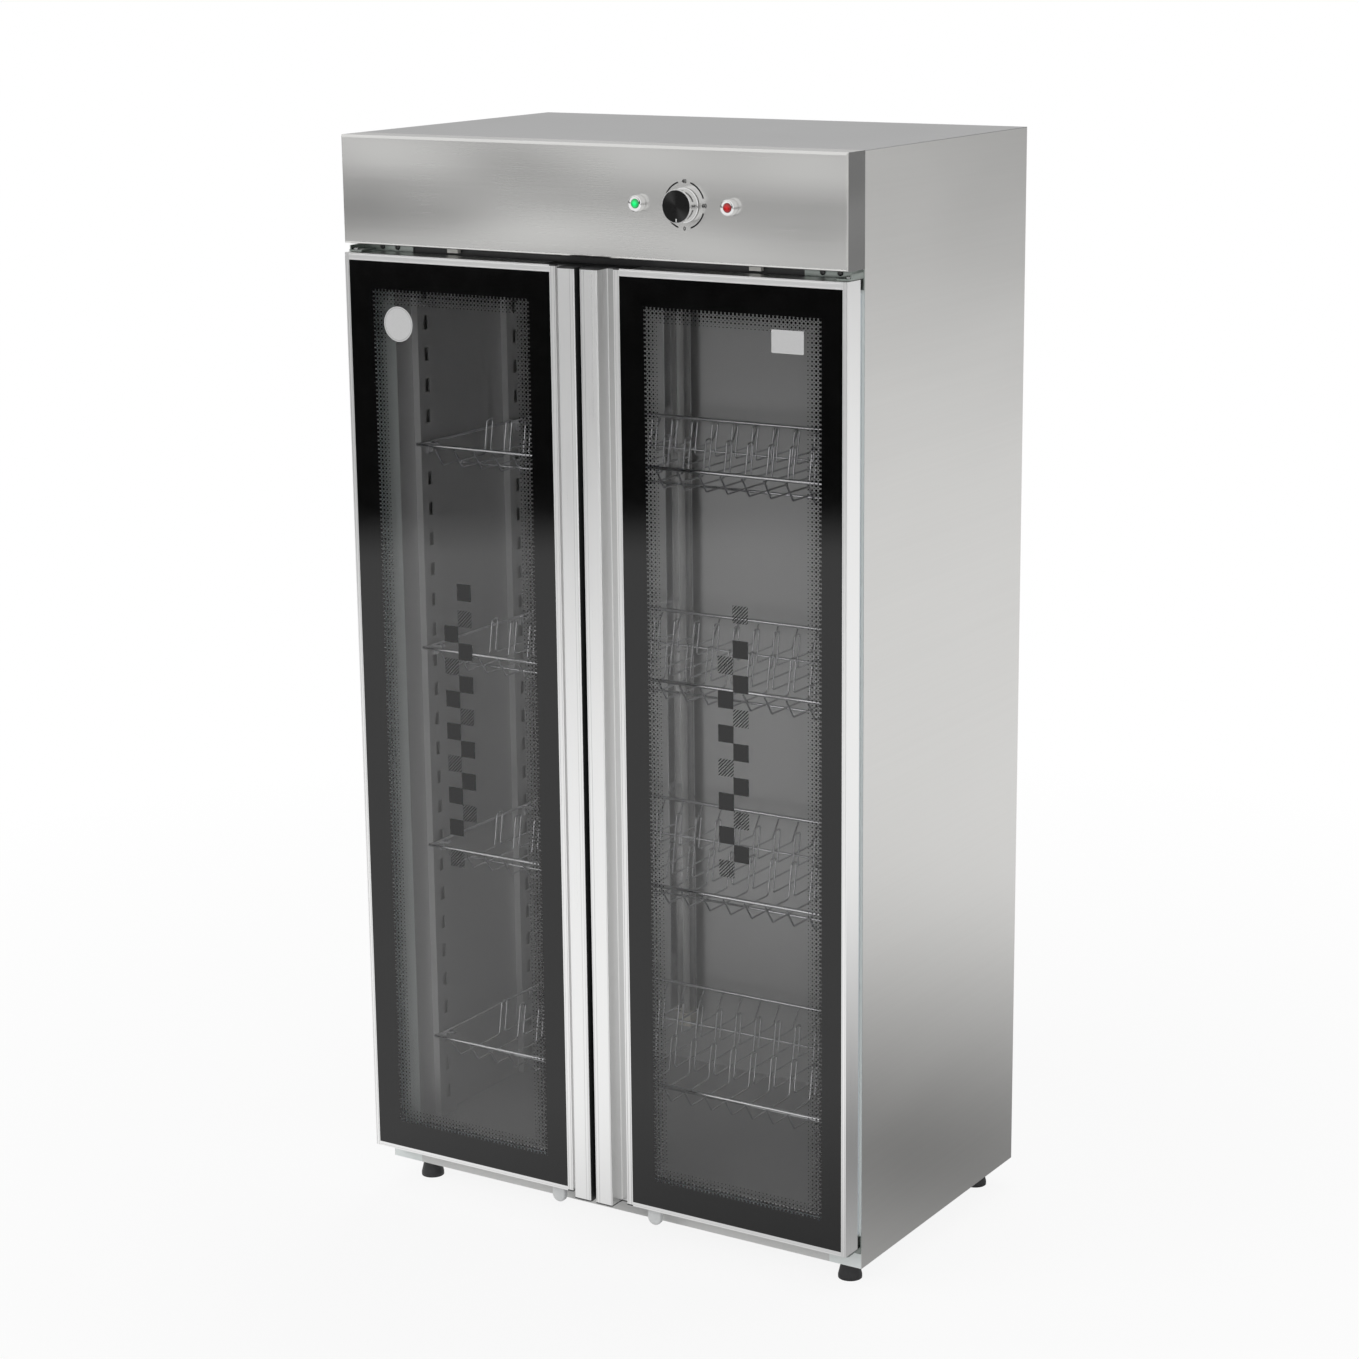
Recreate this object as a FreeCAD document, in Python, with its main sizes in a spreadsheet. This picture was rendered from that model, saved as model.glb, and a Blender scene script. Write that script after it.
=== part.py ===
"""Free-standing dish sterilizer cabinet with two glass doors, in millimetres, +Z up.

The origin is on the floor, under the middle of the cabinet's overall box. The doors face -Y.
Every driving size is a cell of the Sizes sheet. PLACES names the planes that several pieces share,
as formulas on those cells, and each sub-part binds its own lengths and its placement to them.
"""
import FreeCAD, Part
import math
import os
import re

import Sketcher

SIZES = (
    # the sheet-metal body
    ("body_width", 900, "over the side panels"),
    ("body_depth", 520, "front plane to rear face"),
    ("body_height", 1710, "underside to roof"),
    ("foot_height", 40, "floor to underside"),
    ("panel_sheet", 1.2, "outer sheet"),
    ("liner_sheet", 1.0, "chamber sheet"),
    ("side_wall", 58, "outer face to chamber"),
    ("rear_wall", 30, "rear face to chamber"),
    ("floor_level", 68, "underside to chamber floor"),
    ("head_drop", 42, "chamber ceiling below the fascia"),
    ("rear_flange", 16, "fold that the back panel is screwed to"),
    ("head_rail_rise", 18, "head rail above the fascia's lower edge"),
    ("deck_drop", 2, "compartment floor below the fascia's lower edge"),
    # the control fascia
    ("overlay", 50, "fascia and doors in front of the body"),
    ("fascia_height", 168, "fascia"),
    ("fascia_round", 4, "bend at the fascia's front edges"),
    ("dial_offset", 178, "timer axis right of the middle"),
    ("lamp_spacing", 79, "pilot lamps either side of the timer"),
    ("knob_radius", 26, "timer knob"),
    ("knob_proud", 23, "knob face in front of the fascia"),
    ("knob_gap", 1, "knob clear of the fascia"),
    ("knob_edge", 2, "bevel round the knob face"),
    ("shaft_radius", 3, "timer shaft"),
    ("running_fit", 0.05, "radial clearance of turning fits"),
    ("timer_size", 44, "timer body"),
    ("timer_depth", 30, "timer body behind the fascia"),
    ("bezel_radius", 12, "pilot lamp bezel"),
    ("bezel_proud", 12, "bezel in front of the fascia"),
    ("lamp_neck", 8, "lamp neck radius"),
    ("lamp_depth", 28, "lamp body behind the fascia"),
    ("lens_radius", 9, "pilot lamp lens"),
    ("lens_depth", 5, "lens"),
    # the doors
    ("door_top_gap", 14, "fascia to door"),
    ("door_rise", 38, "underside of the body to the door's lower edge"),
    ("side_gap", 0.5, "door edge inside the side panel's face"),
    ("centre_gap", 4, "between the doors"),
    ("frame_depth", 38, "door frame"),
    ("frame_wall", 2, "wall of the frame's hollow sections"),
    ("glass_thickness", 5, "pane"),
    ("glass_fit", 0.3, "pane clear of the lips"),
    ("stile_width", 26, "hinge stile"),
    ("stile_lip", 8, "hinge stile's face beside the pane"),
    ("rail_height", 26, "door rails"),
    ("top_lip", 11, "top rail's face above the pane"),
    ("bottom_lip", 7, "bottom rail's face below the pane"),
    ("bar_edge", 2.5, "free edge to the handle bar"),
    ("bar_width", 31.5, "handle bar"),
    ("bar_proud", 20, "handle bar in front of the frame"),
    ("bar_round", 2.5, "rounding of the bar's front edges"),
    ("channel_width", 16, "finger channel beside the bar"),
    ("channel_floor", 9, "channel floor behind the frame's face"),
    ("rib_width", 10.5, "rib between channel and pane"),
    ("handle_ledge", 17.5, "seat of the pane on the handle stile"),
    ("cap_thickness", 2, "end caps of the handle stile"),
    ("gasket_width", 14, "door seal"),
    ("gasket_inset", 3.5, "door's outer edge to seal"),
    ("gasket_end_inset", 20, "door's ends to seal"),
    ("gasket_centre_inset", 4, "free edge to seal"),
    ("seal_gap", 0.5, "seal to body"),
    ("tongue_offset", 92, "catch tongue from the middle"),
    ("tongue_width", 26, "catch tongue"),
    ("tongue_length", 32, "catch tongue below the door"),
    ("tongue_thickness", 8, "catch tongue"),
    ("tongue_setback", 15, "tongue behind the frame's face"),
    # hinges
    ("pivot_inset", 8, "door edge to pivot"),
    ("pivot_setback", 20, "frame's face to pivot"),
    ("pin_radius", 4, "hinge pin"),
    ("pin_head_radius", 5, "hinge pin head"),
    ("pin_head", 2, "hinge pin head height"),
    ("pin_engagement", 13, "pin in the door"),
    ("bush_depth", 14, "nylon bush"),
    ("leaf_thickness", 2, "hinge plate against the body"),
    ("arm_thickness", 2.5, "hinge plate under or over the door"),
    ("arm_gap", 1, "door clear of the hinge arm"),
    ("arm_reach", 42, "hinge arm in front of the body"),
    ("arm_width", 25, "hinge arm"),
    ("arm_flange", 9, "stiffening flange up the upper hinge arm"),
    ("arm_flange_sheet", 2, "stiffening flange"),
    ("leaf_inset", 1, "hinge plate inside the side panel's face"),
    ("leaf_length", 97, "hinge plate along the body"),
    ("leaf_height", 29, "hinge plate up the body"),
    ("leaf_overlap", 16, "hinge plate past the door's edge"),
    ("screw_radius", 2.5, "hinge screw"),
    ("screw_head_radius", 4.5, "hinge screw head"),
    ("screw_head", 2.8, "hinge screw head height"),
    ("screw_reach", 8, "hinge screw behind the body's face"),
    ("screw_rise", 6.5, "hinge screws past the door's edge"),
    ("outer_screw", 39, "side face to the outer hinge screw"),
    ("inner_screw", 68, "side face to the inner hinge screw"),
    ("screw_fit", 0.1, "screws in their holes"),
    # catches and sensors on the body
    ("sensor_offset", 272, "door sensor from the middle"),
    ("sensor_width", 20, "door sensor"),
    ("sensor_depth", 8, "door sensor"),
    ("sensor_height", 8, "door sensor"),
    ("sensor_rise", 3, "door sensor above the door"),
    ("keeper_width", 44, "catch keeper"),
    ("keeper_depth", 20, "catch keeper"),
    ("keeper_sheet", 2, "catch keeper"),
    ("keeper_height", 12, "catch keeper against the body"),
    ("keeper_drop", 6, "catch keeper below the door"),
    # chamber furniture
    ("upright_width", 43, "slotted upright"),
    ("upright_depth", 12, "slotted upright"),
    ("front_upright", 62, "front upright's middle behind the front plane"),
    ("rear_upright", 306, "rear upright's middle behind the front plane"),
    ("slot_width", 10, "slot"),
    ("slot_height", 21, "slot"),
    ("slot_pitch", 50, "slots up the upright"),
    ("slot_margin", 30, "first slot above the chamber floor"),
    ("clip_width", 10, "rack clip"),
    ("clip_reach", 17, "rack clip under the rack's side rail"),
    ("clip_thickness", 3, "rack clip"),
    ("clip_height", 16, "rack clip against the upright"),
    ("rack_first", 152, "chamber floor to the lowest rack"),
    ("rack_pitch", 333, "between racks"),
    ("rack_side_gap", 4, "rack clear of the uprights"),
    ("rack_front", 25, "front rail behind the front plane"),
    ("rack_rear_gap", 35, "rear rail in front of the chamber's rear"),
    ("rail_rod", 3, "rack rail radius"),
    ("side_rod", 2.5, "rack side rail radius"),
    ("wire_rod", 1.5, "cross wire radius"),
    ("under_rod", 2, "under rod radius"),
    ("under_rod_inset", 75, "under rods from the front and rear rails"),
    ("wire_pitch", 38, "between cross wires"),
    ("wire_bend", 5, "bend radius of the cross wires"),
    ("wire_drop", 34, "cross wires below the rails"),
    ("wire_run", 21, "slope of the cross wires, along the depth"),
    ("prong_rise", 22, "plate prongs above the rails"),
    ("prong_width", 16, "plate prong"),
    ("prong_lean", 10, "prong leaning back"),
    # heater tubes
    ("heater_offset", 165, "heater tubes from the middle"),
    ("reflector_width", 54, "reflector mouth"),
    ("reflector_back", 24, "reflector back"),
    ("reflector_depth", 20, "reflector"),
    ("reflector_sheet", 0.8, "reflector"),
    ("reflector_margin", 90, "reflector short of floor and ceiling"),
    ("tube_radius", 6, "quartz tube"),
    ("tube_setback", 10, "tube axis in front of the chamber's rear"),
    ("socket_width", 26, "tube socket"),
    ("socket_height", 22, "tube socket"),
    # control compartment and rear
    ("terminal_length", 70, "terminal block"),
    ("terminal_depth", 28, "terminal block"),
    ("terminal_height", 24, "terminal block"),
    ("terminal_inset", 150, "terminal block from the side face"),
    ("gland_inset", 110, "cable gland from the side face"),
    ("gland_drop", 60, "cable gland below the roof"),
    ("gland_proud", 14, "cable gland behind the rear face"),
    ("gland_radius", 13, "cable gland"),
    ("gland_neck", 8, "cable gland through the panel"),
    ("gland_bore", 4.2, "cable gland bore"),
    ("gland_inside", 12, "cable gland inside the panel"),
    ("vent_length", 70, "vent slot"),
    ("vent_height", 5, "vent slot"),
    ("vent_pitch", 13, "vent slots"),
    ("vent_offset", 130, "vent columns from the middle"),
    ("vent_drop", 45, "first vent slot below the roof"),
    ("panel_screw_radius", 2, "back panel screw"),
    ("panel_screw_head", 4, "back panel screw head radius"),
    ("panel_screw_proud", 2.2, "back panel screw head height"),
    ("panel_screw_inset", 9, "side face to the back panel screws"),
    ("panel_screw_margin", 60, "first and last back panel screw from the ends"),
    # levelling feet
    ("foot_inset", 45, "foot from the body's sides"),
    ("foot_setback", 45, "foot from the front plane and the rear"),
    ("pad_radius", 19, "foot pad"),
    ("pad_height", 5, "foot pad's straight edge"),
    ("foot_waist", 13, "foot below its collar"),
    ("collar_radius", 16, "foot collar"),
    ("collar_height", 10, "foot collar"),
    ("foot_clearance", 0.3, "collar clear of the underside"),
    ("stud_radius", 5, "foot stud"),
    ("stud_reach", 14, "stud in the body"),
    ("insert_radius", 9, "threaded insert"),
    ("insert_height", 18, "threaded insert"),
)

# How many of each repeated piece there are
RACKS = 4
PRONGS = 2
VENT_ROWS = 7
PANEL_SCREW_ROWS = 5

# Shared planes and axes, as formulas on the sizes
PLACES = {
    "half_width": "body_width / 2",
    "front": "(overlay + max(knob_proud; bar_proud) - body_depth - gland_proud) / 2",
    "back": "front + body_depth",
    "base": "foot_height",
    "roof": "base + body_height",
    "chamber_half": "half_width - side_wall",
    "chamber_rear": "back - rear_wall",
    "chamber_bottom": "base + floor_level",
    "fascia_bottom": "roof - fascia_height",
    "chamber_top": "fascia_bottom - head_drop",
    "inner_half": "half_width - panel_sheet",
    "flange_edge": "chamber_half + liner_sheet",
    "face": "front - overlay",
    "dial_height": "fascia_bottom + fascia_height / 2",
    "door_top": "fascia_bottom - door_top_gap",
    "door_bottom": "base + door_rise",
    "door_height": "door_top - door_bottom",
    "door_inner": "centre_gap / 2",
    "door_outer": "half_width - side_gap",
    "frame_rear": "face + frame_depth",
    "gasket_depth": "overlay - frame_depth - seal_gap",
    "handle_face": "bar_edge + bar_width + channel_width + rib_width",
    "handle_width": "handle_face + handle_ledge",
    "pivot_x": "door_outer - pivot_inset",
    "pivot_y": "face + pivot_setback",
    "upright_face": "chamber_half - upright_depth",
    "rack_half": "upright_face - rack_side_gap",
    "rack_front_y": "front + rack_front",
    "rack_rear_y": "chamber_rear - rack_rear_gap",
    "reflector_bottom": "chamber_bottom + reflector_margin",
    "reflector_top": "chamber_top - reflector_margin",
}

SIZE_NAMES = {alias for alias, _, _ in SIZES}
ALONG = {
    "X": FreeCAD.Rotation(FreeCAD.Vector(0, 1, 0), 90),
    "Y": FreeCAD.Rotation(FreeCAD.Vector(1, 0, 0), -90),
    "-Y": FreeCAD.Rotation(FreeCAD.Vector(1, 0, 0), 90),
    "Z": FreeCAD.Rotation(),
}

document = FreeCAD.newDocument("dish_sterilizer_cabinet")
sheet = document.addObject("Spreadsheet::Sheet", "Sizes")
for row, (alias, size, meaning) in enumerate(SIZES, start=1):
    sheet.set(f"A{row}", meaning)
    sheet.set(f"B{row}", str(size))
    sheet.setAlias(f"B{row}", alias)
document.recompute()

sub_parts = []


# ---------------------------------------------------------------- formulas

def formula(text):
    """Spell out the shared places in a formula and point its sizes at the sheet."""
    def spell(match):
        word = match.group(0)
        if word in PLACES:
            return f"({formula(PLACES[word])})"
        if word in SIZE_NAMES:
            return f"Sizes.{word}"
        return word
    return re.sub(r"[A-Za-z_]\w*", spell, str(text))


def number(text):
    """The value of a formula, for geometry that is worked out in code."""
    return float(sheet.evalExpression(formula(text)))


def bind(item, **properties):
    """Bind properties of an object to formulas."""
    for name, text in properties.items():
        item.setExpression(name, formula(text))


def put_at(item, place, along="Z"):
    """Turn an object and bind its position to three formulas."""
    item.Placement = FreeCAD.Placement(FreeCAD.Vector(), ALONG[along])
    for axis, text in zip("xyz", place):
        item.setExpression(f".Placement.Base.{axis}", formula(text))


def keep(item, label):
    """Name an object as a sub-part, which is written out at the end."""
    item.Label = label
    sub_parts.append(item)
    return item


# ---------------------------------------------------------------- primitives and booleans

def box(corner, size):
    """A block from its low corner and its three lengths."""
    item = document.addObject("Part::Box", "Block")
    bind(item, Length=size[0], Width=size[1], Height=size[2])
    put_at(item, corner)
    return item


def centred_box(width, y, depth, z, height):
    """A block that is symmetric about the cabinet's middle plane."""
    return box((f"-({width}) / 2", y, z), (width, depth, height))


def cylinder(start, radius, length, along="Z"):
    """A round bar from the middle of its first end."""
    item = document.addObject("Part::Cylinder", "Bar")
    bind(item, Radius=radius, Height=length)
    put_at(item, start, along)
    return item


def fuse(*items):
    """Several objects joined into one solid."""
    item = document.addObject("Part::MultiFuse", "Joined")
    item.Shapes = list(items)
    return item


def cut(base, *tools):
    """An object with others taken out of it."""
    item = document.addObject("Part::Cut", "Cut")
    item.Base = base
    item.Tool = tools[0] if len(tools) == 1 else group(*tools)
    return item


def group(*items):
    """Separate solids that share one sub-part."""
    item = document.addObject("Part::Compound", "Group")
    item.Links = list(items)
    return item


def mirrored(source):
    """The same piece on the other side of the cabinet's middle plane."""
    item = document.addObject("Part::Mirroring", "Mirrored")
    item.Source = source
    item.Normal = FreeCAD.Vector(1, 0, 0)
    return item


def pair(source):
    """A piece and its mirror image in one sub-part."""
    return group(source, mirrored(source))


def keep_both_sides(source, name):
    """A right-hand piece and its left-hand twin, as two sub-parts."""
    keep(source, f"right_{name}")
    keep(mirrored(source), f"left_{name}")


# ---------------------------------------------------------------- sketched bodies

def origin_plane(body, role):
    """One of the planes of a body's own origin."""
    for feature in body.Origin.OriginFeatures:
        if feature.Role == role:
            return feature
    raise ValueError(role)


def pin_corner(sketch, line, kind, text):
    """Hold the first point of a line at a bound distance from the sketch's origin."""
    if text == "0":
        axis = -2 if kind == "DistanceX" else -1
        sketch.addConstraint(Sketcher.Constraint("PointOnObject", line, 1, axis))
        return
    distance = Sketcher.Constraint(kind, -1, 1, line, 1, number(text))
    index = sketch.addConstraint(distance)
    sketch.setExpression(f"Constraints[{index}]", formula(text))


def draw_loop(sketch, corners):
    """A closed loop of straight lines whose corners follow the sheet."""
    points = [FreeCAD.Vector(number(across), number(up), 0) for across, up in corners]
    first = sketch.GeometryCount
    count = len(points)
    for step in range(count):
        sketch.addGeometry(Part.LineSegment(points[step], points[(step + 1) % count]))
    for step in range(count):
        following = first + (step + 1) % count
        sketch.addConstraint(Sketcher.Constraint("Coincident", first + step, 2, following, 1))
    for step, (across, up) in enumerate(corners):
        pin_corner(sketch, first + step, "DistanceX", across)
        pin_corner(sketch, first + step, "DistanceY", up)


def new_sketch(body, role, *loops):
    """A sketch of one or more loops on a plane of the body's own origin."""
    sketch = body.newObject("Sketcher::SketchObject", "Outline")
    sketch.AttachmentSupport = [(origin_plane(body, role), "")]
    sketch.MapMode = "FlatFace"
    for corners in loops:
        draw_loop(sketch, corners)
    return sketch


def rectangle(low_x, low_y, high_x, high_y):
    """The corners of an upright rectangle."""
    return ((low_x, low_y), (high_x, low_y), (high_x, high_y), (low_x, high_y))


def extruded(place, length, *loops):
    """A body padded upwards from an outline in plan."""
    body = document.addObject("PartDesign::Body", "Extrusion")
    pad = body.newObject("PartDesign::Pad", "Pad")
    sketch = new_sketch(body, "XY_Plane", *loops)
    pad.Profile = sketch
    bind(pad, Length=length)
    body.Tip = pad
    put_at(body, place)
    return body


def turned(place, corners, along="Z"):
    """A body turned about its own Z axis from half of its section."""
    body = document.addObject("PartDesign::Body", "Turning")
    sketch = new_sketch(body, "XZ_Plane", corners)
    revolution = body.newObject("PartDesign::Revolution", "Revolution")
    revolution.Profile = sketch
    revolution.ReferenceAxis = (sketch, ["V_Axis"])
    revolution.Angle = 360
    body.Tip = revolution
    put_at(body, place, along)
    return body


def rounded_edges(source, radius, wanted):
    """An object with the edges that wanted() picks rounded off."""
    document.recompute()
    item = document.addObject("Part::Fillet", "Rounded")
    item.Base = source
    size = number(radius)
    picked = [i for i, edge in enumerate(source.Shape.Edges, start=1) if wanted(edge)]
    item.Edges = [(i, size, size) for i in picked]
    return item


def lies_at(edge, axis, value):
    """Whether an edge lies in the plane where one coordinate has a value."""
    return all(abs(getattr(vertex.Point, axis) - value) < 1e-6 for vertex in edge.Vertexes)


# ---------------------------------------------------------------- body panels

def hinge_screw_places():
    """Middles of the hinge screws on the right-hand side, as x and z formulas."""
    for inset in ("outer_screw", "inner_screw"):
        yield f"half_width - {inset}", "door_top + screw_rise"
        yield f"half_width - {inset}", "door_bottom - screw_rise"


def hinge_screw_holes():
    """Cutters for the hinge screws, through every sheet that they pass."""
    for x, z in hinge_screw_places():
        yield cylinder((x, "front - overlay", z), "screw_radius + screw_fit",
                       "overlay + screw_reach + 1", "Y")


def panel_screw_places():
    """Middles of the back panel's screws on the right-hand side."""
    for row in range(PANEL_SCREW_ROWS):
        rise = f"(body_height - 2 * panel_screw_margin) * {row} / {PANEL_SCREW_ROWS - 1}"
        yield "half_width - panel_screw_inset", f"base + panel_screw_margin + {rise}"


def panel_screw_holes():
    """Cutters for the back panel's screws."""
    for x, z in panel_screw_places():
        yield cylinder((x, "back - 4 * panel_screw_proud", z), "panel_screw_radius + screw_fit",
                       "6 * panel_screw_proud", "Y")


def side_panels():
    """Outer sheets with a wide front fold that the doors seal on and a narrow rear fold."""
    outer = "side_wall - liner_sheet"
    inner = f"{outer} - panel_sheet"
    seat = "body_depth - panel_sheet"
    fold = extruded(
        ("flange_edge", "front", "base"), "body_height - panel_sheet",
        (("0", "0"), (outer, "0"), (outer, "body_depth"), (inner, "body_depth"), (inner, seat),
         (f"{outer} - rear_flange", seat), (f"{outer} - rear_flange", f"{seat} - panel_sheet"),
         (inner, f"{seat} - panel_sheet"), (inner, "panel_sheet"), ("0", "panel_sheet")))
    panel = cut(fold, *hinge_screw_holes(), *panel_screw_holes())
    keep_both_sides(panel, "side_panel")


def top_panel():
    """Flat roof sheet over both side panels."""
    roof = centred_box("body_width", "front", "body_depth", "roof - panel_sheet", "panel_sheet")
    keep(roof, "top_panel")


def vent_cutters():
    """Two columns of level vent slots into the control compartment."""
    for row in range(VENT_ROWS):
        z = f"roof - vent_drop - {row} * vent_pitch"
        for side in ("-", ""):
            x = f"{side}vent_offset - vent_length / 2"
            yield box((x, "back - 2 * panel_sheet", z), ("vent_length", "3 * panel_sheet", "vent_height"))


def back_panel():
    """Rear sheet with the vents and the hole for the cable gland."""
    sheet_metal = centred_box("2 * inner_half", "back - panel_sheet", "panel_sheet",
                              "base", "body_height - panel_sheet")
    gland_hole = cylinder(("half_width - gland_inset", "back - 2 * panel_sheet", "roof - gland_drop"),
                          "gland_neck", "3 * panel_sheet", "Y")
    right = list(panel_screw_holes())
    left = [mirrored(hole) for hole in right]
    keep(cut(sheet_metal, gland_hole, *vent_cutters(), *right, *left), "back_panel")


def foot_places():
    """Middles of the four feet, by name."""
    for side, sign in (("left", "-"), ("right", "")):
        yield f"front_{side}_foot", f"{sign}(half_width - foot_inset)", "front + foot_setback"
        yield f"rear_{side}_foot", f"{sign}(half_width - foot_inset)", "back - foot_setback"


def base_tray():
    """Bottom sheet with the upstand that closes the body below the doors."""
    bottom = centred_box("2 * inner_half", "front + panel_sheet", "body_depth - 3 * panel_sheet",
                         "base", "panel_sheet")
    upstand = centred_box("2 * flange_edge", "front", "panel_sheet",
                          "base", "floor_level - liner_sheet")
    stud_holes = [cylinder((x, y, "base - panel_sheet"), "stud_radius + screw_fit",
                           "3 * panel_sheet") for _, x, y in foot_places()]
    right = list(hinge_screw_holes())
    left = [mirrored(hole) for hole in right]
    keep(cut(fuse(bottom, upstand), *stud_holes, *right, *left), "base_tray")


def head_rail():
    """Cross rail over the doors, between the two front folds."""
    low = "chamber_top + liner_sheet"
    plate = centred_box("2 * flange_edge", "front", "panel_sheet",
                        low, f"fascia_bottom + head_rail_rise - ({low})")
    right = list(hinge_screw_holes())
    left = [mirrored(hole) for hole in right]
    keep(cut(plate, *right, *left), "head_rail")


def compartment_floor():
    """Deck of the control compartment."""
    deck = centred_box("2 * inner_half", "front + panel_sheet", "body_depth - 3 * panel_sheet",
                       "fascia_bottom - deck_drop", "panel_sheet")
    keep(deck, "compartment_floor")


def chamber():
    """The five sheets of the inner chamber."""
    height = "chamber_top - chamber_bottom + 2 * liner_sheet"
    depth = "chamber_rear - front"
    side = box(("chamber_half", "front", "chamber_bottom - liner_sheet"),
               ("liner_sheet", f"{depth} + liner_sheet", height))
    keep_both_sides(side, "chamber_wall")
    width = "2 * chamber_half"
    keep(centred_box(width, "chamber_rear", "liner_sheet", "chamber_bottom - liner_sheet", height),
         "chamber_back_wall")
    keep(centred_box(width, "front", depth, "chamber_top", "liner_sheet"), "chamber_ceiling")
    keep(centred_box(width, "front", depth, "chamber_bottom - liner_sheet", "liner_sheet"),
         "chamber_floor")


# ---------------------------------------------------------------- controls

def lamp_places():
    """Middles of the pilot lamps, green then red."""
    return "dial_offset - lamp_spacing", "dial_offset + lamp_spacing"


def control_fascia():
    """Folded cover, open at the rear, that holds the timer and the pilot lamps."""
    outside = centred_box("body_width", "face", "overlay", "fascia_bottom", "fascia_height")
    front_plane = number("face")
    rounded = rounded_edges(outside, "fascia_round",
                            lambda edge: lies_at(edge, "y", front_plane))
    inside = centred_box("2 * inner_half", "face + panel_sheet", "overlay",
                         "fascia_bottom + panel_sheet", "fascia_height - 2 * panel_sheet")
    shaft_hole = cylinder(("dial_offset", "face - 1", "dial_height"), "shaft_radius + 1",
                          "panel_sheet + 2", "Y")
    lamp_holes = [cylinder((x, "face - 1", "dial_height"), "lamp_neck", "panel_sheet + 2", "Y")
                  for x in lamp_places()]
    keep(cut(rounded, inside, shaft_hole, *lamp_holes), "control_fascia")


def timer():
    """Clockwork timer behind the fascia, its shaft and the knob."""
    block = box(("dial_offset - timer_size / 2", "face + panel_sheet",
                 "dial_height - timer_size / 2"),
                ("timer_size", "timer_depth", "timer_size"))
    bore = cylinder(("dial_offset", "face", "dial_height"), "shaft_radius + running_fit",
                    "panel_sheet + timer_depth / 2", "Y")
    keep(cut(block, bore), "timer_body")

    axis = ("dial_offset", "face - knob_gap", "dial_height")
    height = "knob_proud - knob_gap"
    bore_depth = "(knob_proud - knob_gap) / 2"
    bore_radius = "shaft_radius"
    knob = turned(axis, ((bore_radius, "0"), ("knob_radius", "0"),
                         ("knob_radius", f"{height} - knob_edge"),
                         ("knob_radius - knob_edge", height), ("0", height),
                         ("0", bore_depth), (bore_radius, bore_depth)), "-Y")
    keep(knob, "timer_knob")
    shaft = cylinder(("dial_offset", f"face - knob_gap - {bore_depth}", "dial_height"),
                     "shaft_radius",
                     f"knob_gap + {bore_depth} + panel_sheet + timer_depth / 2 - running_fit", "Y")
    keep(shaft, "timer_shaft")


def pilot_lamps():
    """Chromed bezels with necks through the fascia, and the coloured lenses in them."""
    bezels = []
    for x, name in zip(lamp_places(), ("green_lens", "red_lens")):
        rim = cylinder((x, "face - bezel_proud", "dial_height"), "bezel_radius",
                       "bezel_proud", "Y")
        neck = cylinder((x, "face", "dial_height"), "lamp_neck", "lamp_depth", "Y")
        pocket = cylinder((x, "face - bezel_proud", "dial_height"), "lens_radius + glass_fit",
                          "lens_depth", "Y")
        bezels.append(cut(fuse(rim, neck), pocket))
        keep(cylinder((x, "face - bezel_proud", "dial_height"), "lens_radius",
                      "lens_depth", "Y"), name)
    keep(group(*bezels), "lamp_bezels")


def terminal_block():
    """Mains terminal block on the compartment floor."""
    block = box(("half_width - terminal_inset - terminal_length / 2", "back - 3 * terminal_depth",
                 "fascia_bottom - deck_drop + panel_sheet"),
                ("terminal_length", "terminal_depth", "terminal_height"))
    keep(block, "terminal_block")


def cable_gland():
    """Nylon gland through the back panel, with its bore open for a mains lead."""
    gland = turned(("half_width - gland_inset", "back - panel_sheet - gland_inside", "roof - gland_drop"),
                   (("gland_bore", "0"), ("gland_neck", "0"),
                    ("gland_neck", "gland_inside + panel_sheet"),
                    ("gland_radius", "gland_inside + panel_sheet"),
                    ("gland_radius", "gland_inside + panel_sheet + gland_proud / 2"),
                    ("gland_neck", "gland_inside + panel_sheet + gland_proud"),
                    ("gland_bore", "gland_inside + panel_sheet + gland_proud")), "Y")
    keep(gland, "cable_gland")


# ---------------------------------------------------------------- doors

def handle_outline():
    """Section of the handle stile: bar, finger channel, rib and the seat of the pane."""
    bar_end = "bar_edge + bar_width"
    channel_end = f"{bar_end} + channel_width"
    depth = "bar_proud + frame_depth"
    floor = "bar_proud + channel_floor"
    seat = "bar_proud + glass_thickness"
    return (("0", "bar_proud"), ("bar_edge", "bar_proud"), ("bar_edge", "0"), (bar_end, "0"),
            (bar_end, floor), (channel_end, floor), (channel_end, "bar_proud"),
            ("handle_face", "bar_proud"), ("handle_face", seat), ("handle_width", seat),
            ("handle_width", depth), ("0", depth))


def handle_hollows():
    """The two hollow chambers of the handle stile."""
    depth = "bar_proud + frame_depth - frame_wall"
    bar_end = "bar_edge + bar_width"
    behind_bar = rectangle("bar_edge + frame_wall", "frame_wall",
                           f"{bar_end} - frame_wall", depth)
    behind_channel = rectangle(f"{bar_end} + frame_wall",
                               "bar_proud + channel_floor + frame_wall",
                               "handle_width - frame_wall", depth)
    return behind_bar, behind_channel


def handle_piece(z, length, *hollows):
    """A length of the handle section with its front edges rounded."""
    body = extruded(("door_inner", "face - bar_proud", z), length, handle_outline(), *hollows)
    bar_plane = number("face - bar_proud")

    def on_bar_corner(edge):
        upright = abs(edge.Vertexes[0].Z - edge.Vertexes[-1].Z) > 1e-6
        return upright and lies_at(edge, "y", bar_plane)

    return rounded_edges(body, "bar_round", on_bar_corner)


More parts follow.
